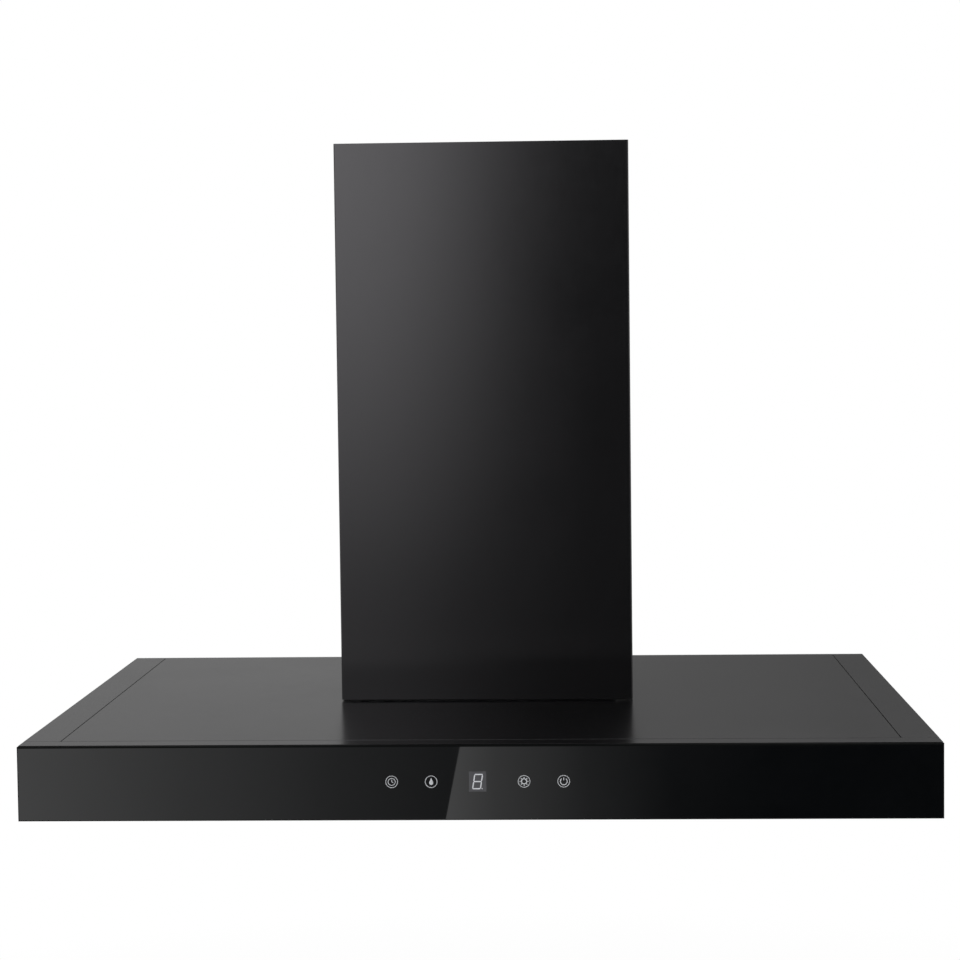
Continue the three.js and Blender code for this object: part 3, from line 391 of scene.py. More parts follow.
def moulded_plastic(name, colour, rough, fineness=900.0):
    """Plastic or enamel with a fine skin, a little paler where it is touched, and paler along its
    edges as painted highlight and rubbing.
    """
    material, tree, shader, place = start_material(name)
    skin = effect(tree, MOULDED_SKIN, place, Fineness=fineness)
    marks = effect(tree, HANDLING, place, Size=10.0)
    edge = effect(tree, EDGE_HIGHLIGHT_AND_RUB, place, Radius=mm(0.6))
    paler = [min(1.0, c * 1.12 + 0.004) for c in colour]
    toned = blend_colours(tree, marks, colour, paler)
    # Painted highlight: edges paler, partly as rubbing and partly as a painted edge highlight.
    highlight_and_rub_colour = [min(1.0, c * 1.3 + 0.012) for c in colour]
    highlighted_and_worn = blend_colours(tree, maths(tree, "MULTIPLY", edge, 0.4), toned, highlight_and_rub_colour)
    surface(tree, shader, highlighted_and_worn, remap(tree, marks, 0.0, 1.0, rough - 0.05, rough + 0.05))
    bump(tree, shader, skin, 0.15, 0.2)
    return material


def printed_ink(name, colour):
    """Pale ceramic print, a little uneven in the screen's mesh."""
    material, tree, shader, place = start_material(name)
    skin = effect(tree, MOULDED_SKIN, place, Fineness=1500.0)
    duller = [c * 0.82 for c in colour]
    tone = blend_colours(tree, skin, duller, colour)
    surface(tree, shader, tone, remap(tree, skin, 0.0, 1.0, 0.3, 0.5))
    return material


def opal_diffuser(name):
    """Milky lamp cover with a fine moulded texture that spreads the light."""
    material, tree, shader, place = start_material(name)
    skin = effect(tree, MOULDED_SKIN, place, Fineness=1300.0)
    tone = blend_colours(tree, skin, (0.78, 0.78, 0.75), (0.88, 0.88, 0.86))
    milky = {"Subsurface Weight": 0.3, "Subsurface Radius": mm(2, 2, 2)}
    surface(tree, shader, tone, remap(tree, skin, 0.0, 1.0, 0.3, 0.42), milky)
    bump(tree, shader, skin, 0.12, 0.1)
    return material


def circuit_lacquer(name):
    """Green solder mask with the faint relief of the copper tracks under it."""
    material, tree, shader, place = start_material(name)
    tracks = node(
        tree,
        "ShaderNodeTexBrick",
        inputs={
            "Vector": place,
            "Scale": 160.0,
            "Mortar Size": 0.05,
            "Color1": (0.012, 0.105, 0.045, 1),
            "Color2": (0.014, 0.12, 0.05, 1),
            "Mortar": (0.03, 0.2, 0.085, 1),
        },
    )
    marks = effect(tree, HANDLING, place, Size=20.0)
    surface(tree, shader, tracks.outputs["Color"], remap(tree, marks, 0.0, 1.0, 0.28, 0.4))
    bump(tree, shader, tracks.outputs["Fac"], 0.2, 0.1)
    return material


# How many times finer a grain is along X, Y and Z.
ALONG_X = (1.0, 45.0, 45.0)
ALONG_Y = (45.0, 1.0, 45.0)
ALONG_Z = (45.0, 45.0, 1.0)
EVEN = (1.0, 1.0, 1.0)

CHIMNEY_BLACK = ((0.0044, 0.0044, 0.0047), (0.0064, 0.0064, 0.0069))
CANOPY_BLACK = ((0.0007, 0.0007, 0.0008), (0.0014, 0.0014, 0.0016))

MATERIALS = {
    "chimney_steel": coated_steel("chimney_steel", *CHIMNEY_BLACK, (0.16, 0.20), ALONG_Z),
    "canopy_steel": coated_steel("canopy_steel", *CANOPY_BLACK, (0.21, 0.25), ALONG_X),
    "front_glass": polished_glass("front_glass"),
    "ground_glass_edge": ground_glass_edge("ground_glass_edge"),
    "galvanised_steel": zinc_sheet("galvanised_steel"),
    "stainless_steel": bare_metal(
        "stainless_steel", (0.46, 0.46, 0.45), (0.62, 0.62, 0.61), (0.24, 0.32), ALONG_X
    ),
    "filter_steel": bare_metal(
        "filter_steel", (0.44, 0.44, 0.43), (0.58, 0.58, 0.57), (0.26, 0.34), ALONG_Y
    ),
    "spring_steel": bare_metal(
        "spring_steel", (0.36, 0.36, 0.37), (0.5, 0.5, 0.51), (0.2, 0.28), EVEN, 400.0
    ),
    "cast_aluminium": bare_metal(
        "cast_aluminium", (0.48, 0.49, 0.5), (0.62, 0.63, 0.64), (0.4, 0.5), EVEN, 700.0
    ),
    "opal_lens": opal_diffuser("opal_lens"),
    "white_plastic": moulded_plastic("white_plastic", (0.72, 0.72, 0.69), 0.45),
    "black_plastic": moulded_plastic("black_plastic", (0.016, 0.016, 0.018), 0.5),
    "circuit_board": circuit_lacquer("circuit_board"),
    "display_plastic": moulded_plastic("display_plastic", (0.046, 0.046, 0.050), 0.25),
    "motor_enamel": moulded_plastic("motor_enamel", (0.012, 0.012, 0.014), 0.35, 500.0),
    "symbol_ink": printed_ink("symbol_ink", (0.44, 0.45, 0.47)),
    "display_segments": printed_ink("display_segments", (0.54, 0.55, 0.58)),
}
# The part's own slot for a finish that the record doesn't name, and the finish for a slot.
MATERIAL_OF_SLOT = {"black_steel": "canopy_steel"}


# ------------------------------------------------------------------ mesh helpers


def finish_piece(name, bm, finish, body, stands_for=()):
    """The bmesh as an object of one finish that rides on a body and may stand for CAD nodes."""
    mesh = bpy.data.meshes.new(name)
    bm.to_mesh(mesh)
    bm.free()
    mesh.materials.append(MATERIALS[finish])
    mesh.shade_smooth()
    mesh.set_sharp_from_angle(angle=math.radians(32))
    piece = bpy.data.objects.new(name, mesh)
    bpy.context.scene.collection.objects.link(piece)
    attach(piece, body)
    if stands_for:
        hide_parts(*stands_for)
    shading = piece.modifiers.new("flat_faces_stay_flat", "WEIGHTED_NORMAL")
    shading.keep_sharp = True
    return piece


def runs_along(edge, direction):
    """How far an edge follows a direction, from 0 for square to it up to 1."""
    start, end = edge.verts
    return abs((end.co - start.co).normalized().dot(direction))


def round_edges(bm, edges, radius, segments):
    """Bevels the edges of a solid or a sheet, to a width in millimetres."""
    bmesh.ops.bevel(
        bm,
        geom=edges,
        offset=mm(radius),
        segments=segments,
        profile=0.5,
        affect="EDGES",
        clamp_overlap=True,
        material=-1,
    )


def edges_of(bm, verts):
    """The edges of a shape that was just added to the bmesh, from its vertices."""
    added = set(verts)
    return [edge for edge in bm.edges if edge.verts[0] in added]


def rounded_box(bm, low, high, radius, segments, square_along=(0, 0, 0)):
    """Adds a box between two corners, in millimetres, with its edges rounded.

    The four edges along square_along, where it is given, stay square.
    """
    low, high = mm(*low), mm(*high)
    size = Matrix.Diagonal((*(high - low), 1))
    spot = Matrix.Translation((low + high) / 2)
    made = bmesh.ops.create_cube(bm, size=1.0, matrix=spot @ size)
    square = Vector(square_along)
    edges = [e for e in edges_of(bm, made["verts"]) if runs_along(e, square) < 0.5]
    round_edges(bm, edges, radius, segments)


def turned(bm, profile, centre, axis, steps, closed=True):
    """Spins a profile of (radius, height) points, in millimetres, round an axis at a centre.

    A profile that isn't closed has both its ends on the axis.
    """
    axis = Vector(axis).normalized()
    side = axis.orthogonal().normalized()
    verts = [
        bm.verts.new(mm(*centre) + side * mm(r) + axis * mm(h)) for r, h in profile
    ]
    pairs = list(zip(verts, verts[1:])) + ([(verts[-1], verts[0])] if closed else [])
    edges = [bm.edges.new(pair) for pair in pairs]
    bmesh.ops.spin(
        bm,
        geom=verts + edges,
        cent=mm(*centre),
        axis=axis,
        angle=TURN,
        steps=steps,
        use_merge=True,
        use_duplicate=False,
    )
    bmesh.ops.remove_doubles(bm, verts=bm.verts, dist=1e-6)
    bmesh.ops.recalc_face_normals(bm, faces=bm.faces)


def folded_sheet(bm, points, sweep, bend, segments):
    """The middle of a folded sheet: a line of points, in millimetres, pulled along sweep.

    Its folds are rounded to a bend. It has no thickness yet.
    """
    verts = [bm.verts.new(mm(*p)) for p in points]
    line = [bm.edges.new(pair) for pair in zip(verts, verts[1:])]
    made = bmesh.ops.extrude_edge_only(bm, edges=line)
    moved = [v for v in made["geom"] if isinstance(v, bmesh.types.BMVert)]
    bmesh.ops.translate(bm, verts=moved, vec=mm(*sweep))
    along = Vector(sweep).normalized()
    folds = [e for v in verts[1:-1] for e in v.link_edges if runs_along(e, along) > 0.99]
    round_edges(bm, folds, bend, segments)
    bmesh.ops.recalc_face_normals(bm, faces=bm.faces)


def break_edges(piece, arris, angle):
    """Bevels every edge that turns by more than an angle in degrees."""
    edges = piece.modifiers.new("broken_edges", "BEVEL")
    edges.width = mm(arris)
    edges.segments = 2
    edges.limit_method = "ANGLE"
    edges.angle_limit = math.radians(angle)


def thicken(piece, sheet, arris):
    """Gives a folded sheet its thickness and breaks the cut edges."""
    wall = piece.modifiers.new("sheet_thickness", "SOLIDIFY")
    wall.thickness = mm(sheet)
    wall.offset = 0
    wall.use_even_offset = True
    break_edges(piece, arris, 60)
    shading = piece.modifiers.find("flat_faces_stay_flat")
    piece.modifiers.move(shading, len(piece.modifiers) - 1)


def carve(bm, cutters):
    """Cuts each cutter's solid out of the bmesh, and gives the cut bmesh back."""
    scene = bpy.context.scene
    objects = []
    for i, part in enumerate([bm, *cutters]):
        mesh = bpy.data.meshes.new(f"blank_{i}")
        part.to_mesh(mesh)
        part.free()
        blank = bpy.data.objects.new(f"blank_{i}", mesh)
        scene.collection.objects.link(blank)
        objects.append(blank)
    target = objects[0]
    for tool in objects[1:]:
        cut = target.modifiers.new("cut", "BOOLEAN")
        cut.operation = "DIFFERENCE"
        cut.solver = "EXACT"
        cut.object = tool
    bpy.context.view_layer.update()
    shaped = target.evaluated_get(bpy.context.evaluated_depsgraph_get())
    result = bmesh.new()
    result.from_mesh(shaped.to_mesh())
    shaped.to_mesh_clear()
    for blank in objects:
        mesh = blank.data
        bpy.data.objects.remove(blank)
        bpy.data.meshes.remove(mesh)
    return result


def carried_over(part, finish, arris):
    """A CAD node that keeps its shape: its finish and, where it shows, finely broken edges."""
    part.data.materials.clear()
    part.data.materials.append(MATERIALS[finish])
    if part.hide_render or not arris:
        return
    weld = part.modifiers.new("join_facets", "WELD")
    weld.merge_threshold = 1e-6
    flat = part.modifiers.new("merge_flat_faces", "DECIMATE")
    flat.decimate_type = "DISSOLVE"
    flat.angle_limit = math.radians(0.5)
    break_edges(part, arris, 40)


# ------------------------------------------------------------------ glass and printed symbols


def build_glass():
    """One pane whose front face is polished; its sides and arrises are ground."""
    bm = bmesh.new()
    rounded_box(
        bm,
        (-CANOPY_HALF, GLASS_FRONT, -GLASS_HALF_HEIGHT),
        (CANOPY_HALF, GLASS_BACK, GLASS_HALF_HEIGHT),
        GLASS_ARRIS,
        1,
        square_along=(0, 1, 0),
    )
    for face in bm.faces:
        face.material_index = 0 if face.normal.y < -0.99 else 1
    pane = finish_piece("glass_front_pane", bm, "front_glass", "hood", ["front_glass"])
    pane.data.materials.append(MATERIALS["ground_glass_edge"])


def raise_print(bm):
    """Gives flat print at PRINT_BACK its thickness, and puts it in its row on the glass."""
    across, up = SYMBOL_MIDDLE
    made = bmesh.ops.extrude_face_region(bm, geom=list(bm.faces))
    moved = [v for v in made["geom"] if isinstance(v, bmesh.types.BMVert)]
    bmesh.ops.translate(bm, verts=moved, vec=mm(0, PRINT_FRONT - PRINT_BACK, 0))
    bmesh.ops.translate(bm, verts=bm.verts, vec=mm(across, 0, up))
    bmesh.ops.recalc_face_normals(bm, faces=bm.faces)


def flat_face(bm, points):
    """A flat face on the glass from (x, z) points."""
    return bm.faces.new([bm.verts.new(mm(x, PRINT_BACK, z)) for x, z in points])


def ring_arc(bm, x, z, radius, line, start=0, end=360, steps=48):
    """A printed ring, or the part of it from start to end in degrees, anticlockwise from +X."""
    a = math.radians(start)
    cut = [
        bm.verts.new(mm(x + r * math.cos(a), PRINT_BACK, z + r * math.sin(a)))
        for r in (radius - line / 2, radius + line / 2)
    ]
    bmesh.ops.spin(
        bm,
        geom=[*cut, bm.edges.new(cut)],
        cent=mm(x, PRINT_BACK, z),
        axis=(0, -1, 0),
        angle=math.radians(end - start),
        steps=steps,
        use_merge=end - start == 360,
        use_duplicate=False,
    )


def stroke(bm, start, end, line):
    """A printed line with square ends between two (x, z) points."""
    a, b = Vector(start), Vector(end)
    along = (b - a).normalized()
    across = Vector((-along.y, along.x)) * line / 2
    flat_face(bm, [a - across, b - across, b + across, a + across])


def digit_bar(bm, start, end):
    """One bar of the digit, with pointed ends, between two (x, z) tips of the upright figure."""
    a, b = Vector(start), Vector(end)
    along = (b - a).normalized() * DIGIT_LINE / 2
    across = Vector((-along.y, along.x))
    near, far = a + along, b - along
    points = [a, near - across, far - across, b, far + across, near + across]
    flat_face(bm, [(x + DIGIT_SLANT * z, z) for x, z in points])


def draw_timer(bm, x):
    """A clock face with its two hands."""
    ring_arc(bm, x, 0, 3.45, 0.6)
    stroke(bm, (x, 0), (x, 2.1), 0.6)
    stroke(bm, (x, 0), (x + 1.5, -0.9), 0.6)


def draw_drop(bm, x):
    """A drop: a point above a round belly."""
    belly, tip, centre = 2.0, 3.9, -1.1
    lean = math.acos(belly / (tip - centre))
    start, end = math.pi / 2 - lean, math.pi / 2 + lean - TURN
    steps = 24
    rim = [start + (end - start) * i / steps for i in range(steps + 1)]
    points = [(x + belly * math.cos(a), centre + belly * math.sin(a)) for a in rim]
    flat_face(bm, [(x, tip)] + points)


def draw_lamp(bm, x):
    """A small sun: a ring with eight rays."""
    ring_arc(bm, x, 0, 2.5, 0.9, steps=32)
    rays, near, far = 8, 3.2, 4.3
    for i in range(rays):
        across, up = math.cos(TURN * i / rays), math.sin(TURN * i / rays)
        stroke(bm, (x + near * across, near * up), (x + far * across, far * up), 0.85)


def draw_power(bm, x):
    """An open ring with a stroke in its gap."""
    ring_arc(bm, x, -0.15, 3.35, 0.75, 128, 412)
    stroke(bm, (x, 0.9), (x, 3.6), 0.7)


def build_symbols():
    """The four touch symbols, each in a thin ring."""
    places = (
        ("timer", -SYMBOL_SPACING_OUTER, draw_timer),
        ("drop", -SYMBOL_SPACING_INNER, draw_drop),
        ("lamp", SYMBOL_SPACING_INNER, draw_lamp),
        ("power", SYMBOL_SPACING_OUTER, draw_power),
    )
    for name, x, draw in places:
        bm = bmesh.new()
        ring_arc(bm, x, 0, SYMBOL_RING, SYMBOL_LINE, steps=64)
        draw(bm, x)
        raise_print(bm)
        finish_piece(f"symbol_{name}", bm, "symbol_ink", "hood")


def build_display():
    """The smoked window and a bare figure eight of seven bars with its point."""
    half_x, half_z = DISPLAY_HALF
    x, z = SYMBOL_MIDDLE
    bm = bmesh.new()
    low, high = (x - half_x, WINDOW_FRONT, z - half_z), (x + half_x, WINDOW_BACK, z + half_z)
    rounded_box(bm, low, high, 0.04, 1)
    finish_piece("display_window", bm, "display_plastic", "hood")

    w, h, half = DIGIT_HALF_WIDTH, DIGIT_HALF_HEIGHT, DIGIT_LINE / 2
    bm = bmesh.new()
    for z in (h - half, 0, half - h):
        digit_bar(bm, (DIGIT_NICK - w, z), (w - DIGIT_NICK, z))
    for x in (half - w, w - half):
        for low, high in ((0, h - half), (half - h, 0)):
            digit_bar(bm, (x, low + DIGIT_NICK), (x, high - DIGIT_NICK))
    bmesh.ops.create_circle(
        bm,
        cap_ends=True,
        segments=16,
        radius=mm(half),
        matrix=Matrix.Translation(mm(w + DIGIT_POINT - DIGIT_SLANT * h, PRINT_BACK, half - h))
        @ Matrix.Rotation(math.pi / 2, 4, "X"),
    )
    raise_print(bm)
    finish_piece("display_digit", bm, "display_segments", "hood")


# ------------------------------------------------------------------ lamps


def lamp_trim_profile():
    """Pressed stainless ring: rolled rim under the pan, sleeve through its hole."""
    rim, sleeve, bore = 34.0, 28.7, 25.3
    edge = [(bore, -1.0), (bore + 0.2, -1.19), (rim - 1.2, -1.19)]
    edge += [(rim - 0.5, -1.05), (rim - 0.1, -0.7), (rim, -0.3), (rim - 0.1, 0.0)]
    tube = [(sleeve, 0.0), (sleeve, 2.8), (sleeve - 0.2, 3.0), (bore + 0.2, 3.0), (bore, 2.8)]
    return edge + tube


def lens_profile():
    """Moulded cover: a bevelled land, then fine rings of prisms round a plain centre."""
    r, rings, pitch = LENS_RADIUS, 14, 1.35
    points = [(0.0, 1.8), (r - 0.3, 1.8), (r, 1.5), (r, -0.9), (r - 0.3, -1.19), (r - 2.4, -1.19)]
    for i in range(rings):
        tip = r - 2.6 - pitch * i
        points += [(tip, -0.85), (tip - pitch + 0.15, -1.1)]
    return points + [(r - 2.6 - pitch * rings, -0.95), (0.0, -0.95)]


def heat_sink_profile():
    """Cast cup over the lamp, with two grooves between its fins."""
    outer, core, recess, floor, top, groove = 34.0, 29.0, 29.3, 3.3, 18.0, 2.5
    profile = [(0.0, floor), (recess, floor), (recess, 0.0), (outer - 0.5, 0.0), (outer, 0.5)]
    for i in (1, 2):
        high = floor + (top - floor) * i / 2 - groove / 2
        low = high - groove
        profile += [(outer, low - 0.3), (outer - 0.3, low), (core, low)]
        profile += [(core, high), (outer - 0.3, high), (outer, high + 0.3)]
    return profile + [(outer, top - 0.4), (outer - 0.4, top), (0.0, top)]


def build_lamps():
    """Two spotlights in the pan, each with its trim ring, its cover and its heat sink."""
    trim, cover, sink = lamp_trim_profile(), lens_profile(), heat_sink_profile()
    pieces = (
        ("lamp_trim", "lamp_bezel", "stainless_steel", trim, LAMP_SEAT, 96, True),
        ("lamp_diffuser", "lamp_lens", "opal_lens", cover, LAMP_SEAT, 96, False),
        ("lamp_heat_sink", "lamp_body", "cast_aluminium", sink, HEAT_SINK_FOOT, 72, False),
    )
    for side, sign in SIDES:
        for name, node_name, finish, profile, foot, steps, closed in pieces:
            bm = bmesh.new()
            turned(bm, profile, (sign * LAMP_X, LAMP_Y, foot), (0, 0, 1), steps, closed)
            finish_piece(f"{side}_{name}", bm, finish, "hood", [f"{side}_{node_name}"])


# ------------------------------------------------------------------ filters and latches


def build_baffles():
    """Two staggered rows of folded channels between two end strips, in each filter."""
    sheet, width, leg, bend, land, inset, count = 1.0, 33.0, 5.0, 1.6, 0.5, 0.5, 7
    half = (width - sheet) / 2
    for side, _ in SIDES:
        low, high = in_mm(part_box(f"{side}_filter_baffles"))
        first = low.x + land + width / 2
        pitch = (high.x - low.x - 2 * land - width) / count
        lower_row = (low.z + land + sheet / 2, low.z + land + leg, [i + 0.5 for i in range(count)])
        upper_row = (high.z - land - sheet / 2, high.z - land - leg, range(count + 1))
        y = low.y + inset
        bm = bmesh.new()
        for back, tip, steps in (lower_row, upper_row):
            for x in (first + pitch * step for step in steps):
                left, right = x - half, x + half
                points = [(left, y, tip), (left, y, back), (right, y, back), (right, y, tip)]
                folded_sheet(bm, points, (0, high.y - low.y - 2 * inset, 0), bend, 4)
        piece = finish_piece(
            f"{side}_baffle_channels",
            bm,
            "filter_steel",
            f"{side}_filter",
            [f"{side}_filter_baffles"],
        )
        thicken(piece, sheet, 0.2)
        bm = bmesh.new()
        for y in (low.y, high.y - sheet):
            rounded_box(bm, (low.x, y, low.z), (high.x, y + sheet, high.z), 0.3, 2)
        finish_piece(f"{side}_baffle_end_strips", bm, "stainless_steel", f"{side}_filter")


def build_latch_springs():
    """Open coils of round wire, which the thumb plate presses against the cup's rear wall."""
    wire, turns, steps_per_turn, sides = 0.4, 6, 20, 10
    steps = turns * steps_per_turn
    for side, _ in SIDES:
        low, high = in_mm(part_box(f"{side}_latch_spring"))
        x, z = (low.x + high.x) / 2, (low.z + high.z) / 2
        run = high.y - low.y - 2 * wire
        bm = bmesh.new()
        bmesh.ops.create_circle(
            bm,
            segments=sides,
            radius=mm(wire),
            matrix=Matrix.Translation(mm(high.x - wire, low.y + wire, z)),
        )
        bmesh.ops.spin(
            bm,
            geom=[*bm.verts, *bm.edges],
            cent=mm(x, low.y, z),
            axis=(0, 1, 0),
            dvec=mm(0, run / steps, 0),
            angle=TURN * turns,
            steps=steps,
            use_merge=False,
            use_duplicate=False,
        )
        bmesh.ops.holes_fill(bm, edges=[e for e in bm.edges if e.is_boundary], sides=sides)
        bmesh.ops.recalc_face_normals(bm, faces=bm.faces)
        piece = finish_piece(
            f"{side}_latch_coil", bm, "spring_steel", f"{side}_filter", [f"{side}_latch_spring"]
        )
        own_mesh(piece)


# ------------------------------------------------------------------ screws


def build_screw(name, seat, axis, finish, stands_for=(), shank=6.0):
    """Pan-head screw with a cross recess: seat is the point under its head."""
    axis = Vector(axis)
    height, shaft = 2.0, 2.0
    head = [(0.0, height), (1.3, 1.95), (2.4, 1.65), (3.3, 1.1), (3.75, 0.35), (3.8, 0.0)]
    body = [(shaft, 0.0), (shaft, 1.0 - shank), (1.2, -shank), (0.0, -shank)]
    bm = bmesh.new()
    turned(bm, head + body, seat, axis, 32, closed=False)
    square = axis.to_track_quat("Z", "Y").to_matrix().to_4x4()
    top = Matrix.Translation(mm(*seat) + axis * mm(height)) @ square
    cutters = []
    for size in ((3.4, 0.8, 1.6), (0.8, 3.4, 1.6)):
        slot = bmesh.new()
        bmesh.ops.create_cube(slot, size=1.0, matrix=top @ Matrix.Diagonal((*mm(*size), 1)))
        cutters.append(slot)
    return finish_piece(name, carve(bm, cutters), finish, "hood", stands_for)


def build_screws():
    """One screw through each side of the chimney, and four in the foot of the blower's chassis."""
    x, y, z = COVER_SCREW
    for side, sign in SIDES:
        place, outwards, stands_for = (sign * x, y, z), (sign, 0, 0), [f"{side}_cover_screw"]
        build_screw(f"{side}_cover_fixing", place, outwards, "chimney_steel", stands_for, 4.7)
    for i, (x, y) in enumerate(FOOT_SCREWS):
        seat = (x, y, FOOT_SCREW_SEAT)
        build_screw(f"chassis_foot_screw_{i + 1}", seat, (0, 0, 1), "stainless_steel")


# ------------------------------------------------------------------ chimney


def build_lower_cover():
    """Outer chimney sheet: a folded U with a return at each rear edge, bent to a small radius."""
    low, high = in_mm(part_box("lower_chimney_cover"))
    middle = COVER_SHEET / 2
    half, back, front = high.x - middle, high.y - middle, low.y + middle
    lip, z = half + middle - COVER_RETURN, low.z + COVER_FOOT_GAP
    left = [(-lip, back, z), (-half, back, z), (-half, front, z)]
    right = [(-x, y, z) for x, y, z in reversed(left)]
    bm = bmesh.new()
    folded_sheet(bm, left + right, (0, 0, high.z - z), COVER_BEND, 5)
    piece = finish_piece(
        "lower_chimney_sheet", bm, "chimney_steel", "hood", ["lower_chimney_cover"]
    )
    thicken(piece, COVER_SHEET, 0.18)


# ------------------------------------------------------------------ blower, duct collar, boxes


def build_collar():
    """Moulded duct spigot with a foot flange, two clamp grooves and a stop for the flaps."""
    inside, outside, top = 72.5, 75.0, 92.0
    flange = [(inside, 0.4), (72.9, 0.0), (84.6, 0.0), (85.0, 0.4), (85.0, 1.6), (84.6, 2.0)]
    fillet = [(76.5, 2.0), (75.4, 2.4), (outside, 3.5)]
    grooves = []
    for z in (60.0, 70.0):
        grooves += [(outside, z), (74.4, z + 1), (74.4, z + 4), (outside, z + 5)]
    mouth = [(outside, 91.2), (74.7, 91.8), (74.2, top), (73.0, top), (inside, 91.5)]
    stop = [(inside, 13.1), (69.2, 13.1), (69.0, 12.9), (69.0, 11.3), (69.2, 11.1), (inside, 11.1)]
    bm = bmesh.new()
    profile = flange + fillet + grooves + mouth + stop
    turned(bm, profile, (0, COLLAR_Y, COLLAR_FOOT), (0, 0, 1), 144)
    finish_piece("duct_collar", bm, "black_plastic", "hood", ["outlet_collar"])


def build_motor():
    """Enamelled can with crimped end caps and a bearing boss."""
    low, high = in_mm(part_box("motor"))
    length = high.x - low.x
    can = length - 4.0
    bore, boss, wall, crimp = 4.35, 16.0, 41.2, 42.0
    foot = [(bore, 0.0), (boss, 0.0), (17.0, 1.0), (38.0, 1.0), (40.5, 1.8), (41.8, 3.6)]
    foot += [(crimp, 5.0), (crimp, 9.0), (wall, 9.6)]
    head = [(wall, can - 9.6), (crimp, can - 9.0), (crimp, can - 5.0), (41.8, can - 3.6)]
    head += [(40.5, can - 1.0), (38.0, can), (16.4, can), (boss, can + 0.4)]
    head += [(boss, length - 0.5), (15.5, length), (bore, length)]
    bm = bmesh.new()
    turned(bm, foot + head, (low.x, *BLOWER_AXIS), (1, 0, 0), 96)
    finish_piece("motor_can", bm, "motor_enamel", "hood", ["motor"])


def build_capacitor():
    """Drawn can with a rounded foot and a rolled groove under its lid."""
    low, high = in_mm(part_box("capacitor"))
    r, length = (high.z - low.z) / 2, high.x - low.x
    foot = [(0.0, 0.0), (r - 4.0, 0.0), (r - 1.6, 0.6), (r - 0.4, 2.0), (r, 4.0)]
    groove = [(r, length - 6.0), (r - 0.9, length - 5.0), (r - 0.9, length - 3.6)]
    lid = [(r, length - 2.6), (r, length - 0.4), (r - 0.4, length), (0.0, length)]
    bm = bmesh.new()
    centre = (low.x, (low.y + high.y) / 2, (low.z + high.z) / 2)
    turned(bm, foot + groove + lid, centre, (1, 0, 0), 64, closed=False)
    finish_piece("capacitor_can", bm, "white_plastic", "hood", ["capacitor"])


def build_gland():
    """Six-sided body, clamping dome and lock nut round one open bore."""
    low, high = in_mm(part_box("cable_gland"))
    y, z = (low.y + high.y) / 2, (low.z + high.z) / 2
    radius, bore, reach, nut, body = 9.0, 4.5, 30.0, 5.0, 6.5
    wall_x = high.x - 14.3
    wall = (wall_x, y, z)
    nuts = bmesh.new()
    for x0, x1 in ((low.x, low.x + nut), (wall_x + 0.3, wall_x + body)):
        place = Matrix.Translation(mm((x0 + x1) / 2, y, z))
        made = bmesh.ops.create_cone(
            nuts,
            segments=6,
            radius1=mm(radius),
            radius2=mm(radius),
            depth=mm(x1 - x0),
            cap_ends=True,
            matrix=place @ Matrix.Rotation(math.pi / 2, 4, "Y"),
        )
        round_edges(nuts, edges_of(nuts, made["verts"]), 0.5, 2)
    dome = bmesh.new()
    thread = [(0.0, -8.0), (6.5, -8.0), (6.5, 5.9), (7.6, 6.1)]
    cap = [(7.8, 9.5), (7.0, 12.2), (5.6, 13.9), (0.0, 13.9)]
    turned(dome, thread + cap, wall, (1, 0, 0), 48, closed=False)
    hole = bmesh.new()
    rod = [(0.0, -reach), (bore, -reach), (bore, reach), (0.0, reach)]
    turned(hole, rod, wall, (1, 0, 0), 48, closed=False)
    nuts = carve(nuts, [hole.copy()])
    finish_piece("gland_nuts", nuts, "black_plastic", "hood", ["cable_gland"])
    finish_piece("gland_dome", carve(dome, [hole]), "black_plastic", "hood")


build_glass()
build_symbols()
build_display()
build_lamps()
build_baffles()
build_latch_springs()
build_screws()
build_lower_cover()
build_collar()
build_motor()
build_capacitor()
build_gland()

# ------------------------------------------------------------------ carried-over CAD nodes

SUBPARTS = {part["node"]: part["material_slot"] for part in frame["record"]["subparts"]}
CHIMNEY_NODES = (
    "lower_chimney_cover",
    "upper_chimney_cover",
    "right_cover_screw",
    "left_cover_screw",
)
ARRIS = 0.3  # width of the broken edges
ARRIS_OF = {
    "impeller_right_cage": 0,
    "impeller_left_cage": 0,
    "front_rail": 0.5,
    "terminal_box": 0.6,
    "terminal_box_lid": 0.8,
    "control_box": 0.6,
    "control_box_lid": 0.8,
    "led_driver": 1.5,
}

for name, slot in SUBPARTS.items():
    finish = MATERIAL_OF_SLOT.get(slot, slot)
    if name in CHIMNEY_NODES:
        finish = "chimney_steel"
    if name.endswith("filter_frame"):
        finish = "filter_steel"
    carried_over(NODES[name], finish, ARRIS_OF.get(name, ARRIS))


# ------------------------------------------------------------------ studio


def make_camera():
    """The photograph's view. Place and turns come from a fit to the hood's outlines."""
    place = mm(94.86, -2259.24, 428.68)
    yaw, pitch, roll = (math.radians(a) for a in (1.7542, -2.6508, 0.6442))
    data = bpy.data.cameras.new("front_view")
    data.sensor_fit = "HORIZONTAL"
    data.sensor_width = 36.0
    data.lens = 68.991
    data.shift_x = -0.03705
    data.shift_y = -0.05839
    data.clip_start, data.clip_end = 0.05, 60.0
    camera = bpy.data.objects.new("front_view", data)
    bpy.context.scene.collection.objects.link(camera)
    camera.matrix_world = (
        Matrix.Translation(place)
        @ Matrix.Rotation(yaw, 4, "Z")
        @ Matrix.Rotation(pitch, 4, "X")
        @ Matrix.Rotation(roll, 4, "Y")
        @ Matrix.Rotation(math.pi / 2, 4, "X")
    )
    bpy.context.scene.camera = camera


